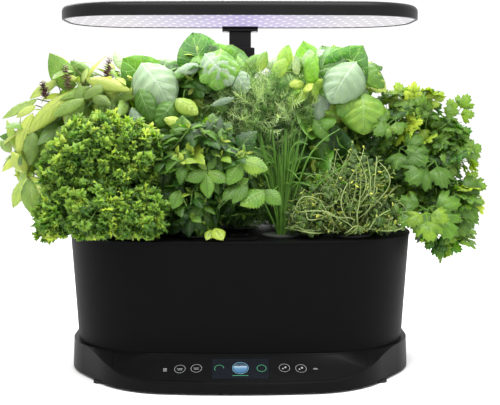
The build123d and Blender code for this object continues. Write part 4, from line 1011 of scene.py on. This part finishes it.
def growChives(plan):       # hollow blades from one clump, some folded over
    chance = random.Random(plan["seed"])
    runs = []
    radius = plan["radius"]
    for number in range(plan["blades"]):
        turn = chance.uniform(0, 2 * pi)
        out = Vector((cos(turn), sin(turn), 0))
        foot = stemFoot(plan) + out * chance.uniform(0, 0.004)
        height = chance.uniform(*plan["height"])
        lean = chance.uniform(0.03, 0.24)
        tip = foot + out * height * lean + Vector((0, 0, height))
        middle = foot + out * height * lean * 0.3 + Vector((0, 0, height * 0.5))
        run = [(foot, radius), (foot.lerp(middle, 0.5), radius * 1.05), (middle, radius)]
        if chance.random() < plan["bent"]:
            fall = foot + out * height * (lean + 0.35) + Vector((0, 0, height * chance.uniform(0.55, 0.9)))
            run += [(foot.lerp(tip, 0.85), radius * 0.9), (fall, radius * 0.4)]
        else:
            run += [(foot.lerp(tip, 0.8), radius * 0.85), (tip, radius * 0.3)]
        if all(clearOfEverything([p]) is not None for p, r in run[1:]):
            runs.append(run)
    for bend, tip in plan["arcs"]:
        foot = stemFoot(plan, sunk=0.006)
        bend, tip = Vector(bend) * mm, Vector(tip) * mm
        rise = foot.lerp(bend, 0.5)
        rise.z += 0.012
        runs.append([(foot, radius), (rise, radius), (bend, radius * 0.9), (tip, radius * 0.4)])
    return runs


chiveGreen = stemFinish("chiveGreen", (0.022, 0.075, 0.006), (0.11, 0.26, 0.018))
clump = growStems("chives", growChives(chives), chiveGreen, 1)
settle(clump)
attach(clump, "root")
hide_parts("chives_plant")
print("chives grown:", len(clump.data.polygons), "faces")

thyme = dict(
    pod=(0.135, frontY), seed=22, stems=230, leafSize=(0.0055, 0.0090), spacing=0.0095,
    lobes=[
        (-4, -12, 26, 44), (-30, -14, 50, 34), (12, -14, 56, 42), (0, -6, 76, 36), (30, -24, 24, 30),
        (-50, -6, 30, 30), (-56, -26, 20, 24),
    ],
    low=420,
)
thymeShape = shapeLeaf("thymeLeaf", thaiLook, across=2, along=3, width=0.6, droop=0.15, thickness=0.03)


def growThyme(plan):        # wiry stems with small leaves in pairs
    chance = random.Random(plan["seed"])
    podX, podY = plan["pod"]
    lobes = crownLobes(plan)
    runs = []
    leaves = []
    for number in range(plan["stems"]):
        centre, radius = chance.choice(lobes)
        tip = centre + randomWay(chance) * radius
        tip.z = max(tip.z, deckTop + 0.012)
        turn = chance.uniform(0, 2 * pi)
        foot = stemFoot(plan, turn, 0.003)
        rise = Vector((podX + (tip.x - podX) * 0.2, podY + (tip.y - podY) * 0.2, deckTop + 0.012))
        bend = rise.lerp(tip, 0.55) + randomWay(chance) * 0.030
        bend.z = max(bend.z, deckTop + 0.008)
        if clearOfEverything([tip, bend]) is None:
            continue
        sway = [rise.lerp(bend, 0.5) + randomWay(chance) * 0.009,
                bend.lerp(tip, 0.5) + randomWay(chance) * 0.011]
        for point in sway:
            point.z = max(point.z, deckTop + 0.006)
        path = [foot, rise, sway[0], bend, sway[1], tip]
        runs.append(list(zip(path, (0.0008, 0.0008, 0.0007, 0.0007, 0.0006, 0.0004))))
        length = (bend - rise).length + (tip - bend).length
        count = max(int(length / plan["spacing"]), 1)
        for step in range(1, count + 1):
            t = step / count
            near = rise.lerp(bend, t).lerp(bend.lerp(tip, t), t)
            along = (bend - rise).lerp(tip - bend, t).normalized()
            side = along.cross(randomWay(chance)).normalized()
            for sign in (-1, 1):
                size = chance.uniform(*plan["leafSize"]) * (1.2 - 0.6 * t)
                tone = 1 if chance.random() < 0.07 else chance.gauss(0.36, 0.2)
                setLeaf(leaves, thymeShape, near, side * sign + along * 0.5,
                        Vector((0, -0.3, 1)) + randomWay(chance) * 0.4, size, 1, tone)
    for number in range(plan["low"]):       # leaves down among the stems, darkened with low tones as painted shade
        centre, radius = chance.choice(lobes)
        place = centre + randomWay(chance) * radius * chance.uniform(0.1, 0.92)
        setLeaf(leaves, thymeShape, place, randomWay(chance), Vector((0, -1, 0.3)), 0.011, 1.2,
                chance.uniform(0, 0.3))
    foliage = dressLeaves(leaves, "thymeLeaves", greens["thymeGreen"])
    return joinPieces([foliage, growStems("thymeStems", runs, wiryStem)], "thyme")


thymeBush = growThyme(thyme)
settle(thymeBush)
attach(thymeBush, "root")
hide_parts("thyme_plant")
print("thyme grown:", len(thymeBush.data.polygons), "faces")

patterns = [*basilShapes, *thaiShapes, *mintShapes, *curlyShapes, *parsleyShapes, *dillShapes]
for pattern in patterns + [thymeShape, basilHero, thaiHero, mintHero]:
    bpy.data.objects.remove(pattern)

studio = dict(floor=6.0, air=1.03, top=46, back=26, glow=1.0)
clearSelection()
bpy.ops.mesh.primitive_grid_add(x_subdivisions=4, y_subdivisions=4, size=studio["floor"],
                                location=(0, 1.2, 0))
floor = bpy.context.object
floor.name = "studioFloor"
floorFinish = cloudy("studioFloor", (6, 2), (0.93, 0.93, 0.93), (0.95, 0.95, 0.95), Roughness=0.85,
                     Specular_IOR_Level=0.1)
floor.data.materials.append(floorFinish.material)
settle(floor)

world = bpy.data.worlds.new("studioAir")
world.use_nodes = True
world.node_tree.nodes["Background"].inputs["Color"].default_value = (1, 1, 1, 1)
world.node_tree.nodes["Background"].inputs["Strength"].default_value = studio["air"]
bpy.context.scene.world = world


def softLight(name, place, aim, size, power, colour=(1, 1, 1)):
    data = bpy.data.lights.new(name, "AREA")
    data.shape = "RECTANGLE"
    data.size, data.size_y = size
    data.energy = power
    data.color = colour
    light = bpy.data.objects.new(name, data)
    light.location = place
    light.rotation_euler = (Vector(aim) - Vector(place)).to_track_quat("-Z", "Y").to_euler()
    light.visible_camera = False
    addToScene(light)
    return light


softLight("topSoft", (0.2, -0.7, 1.9), (0, 0, 0.2), (1.6, 1.2), studio["top"])
softLight("backSoft", (-0.4, 1.4, 1.5), (0, 0, 0.2), (1.4, 1.0), studio["back"])
growLight = softLight("growGlow", (0, 0.01, 0.428), (0, 0.01, 0), (0.40, 0.18), studio["glow"],
                      (1.0, 0.97, 1.0))
growLight.parent = frame["bodies"]["light_head"]
print("studio lit")
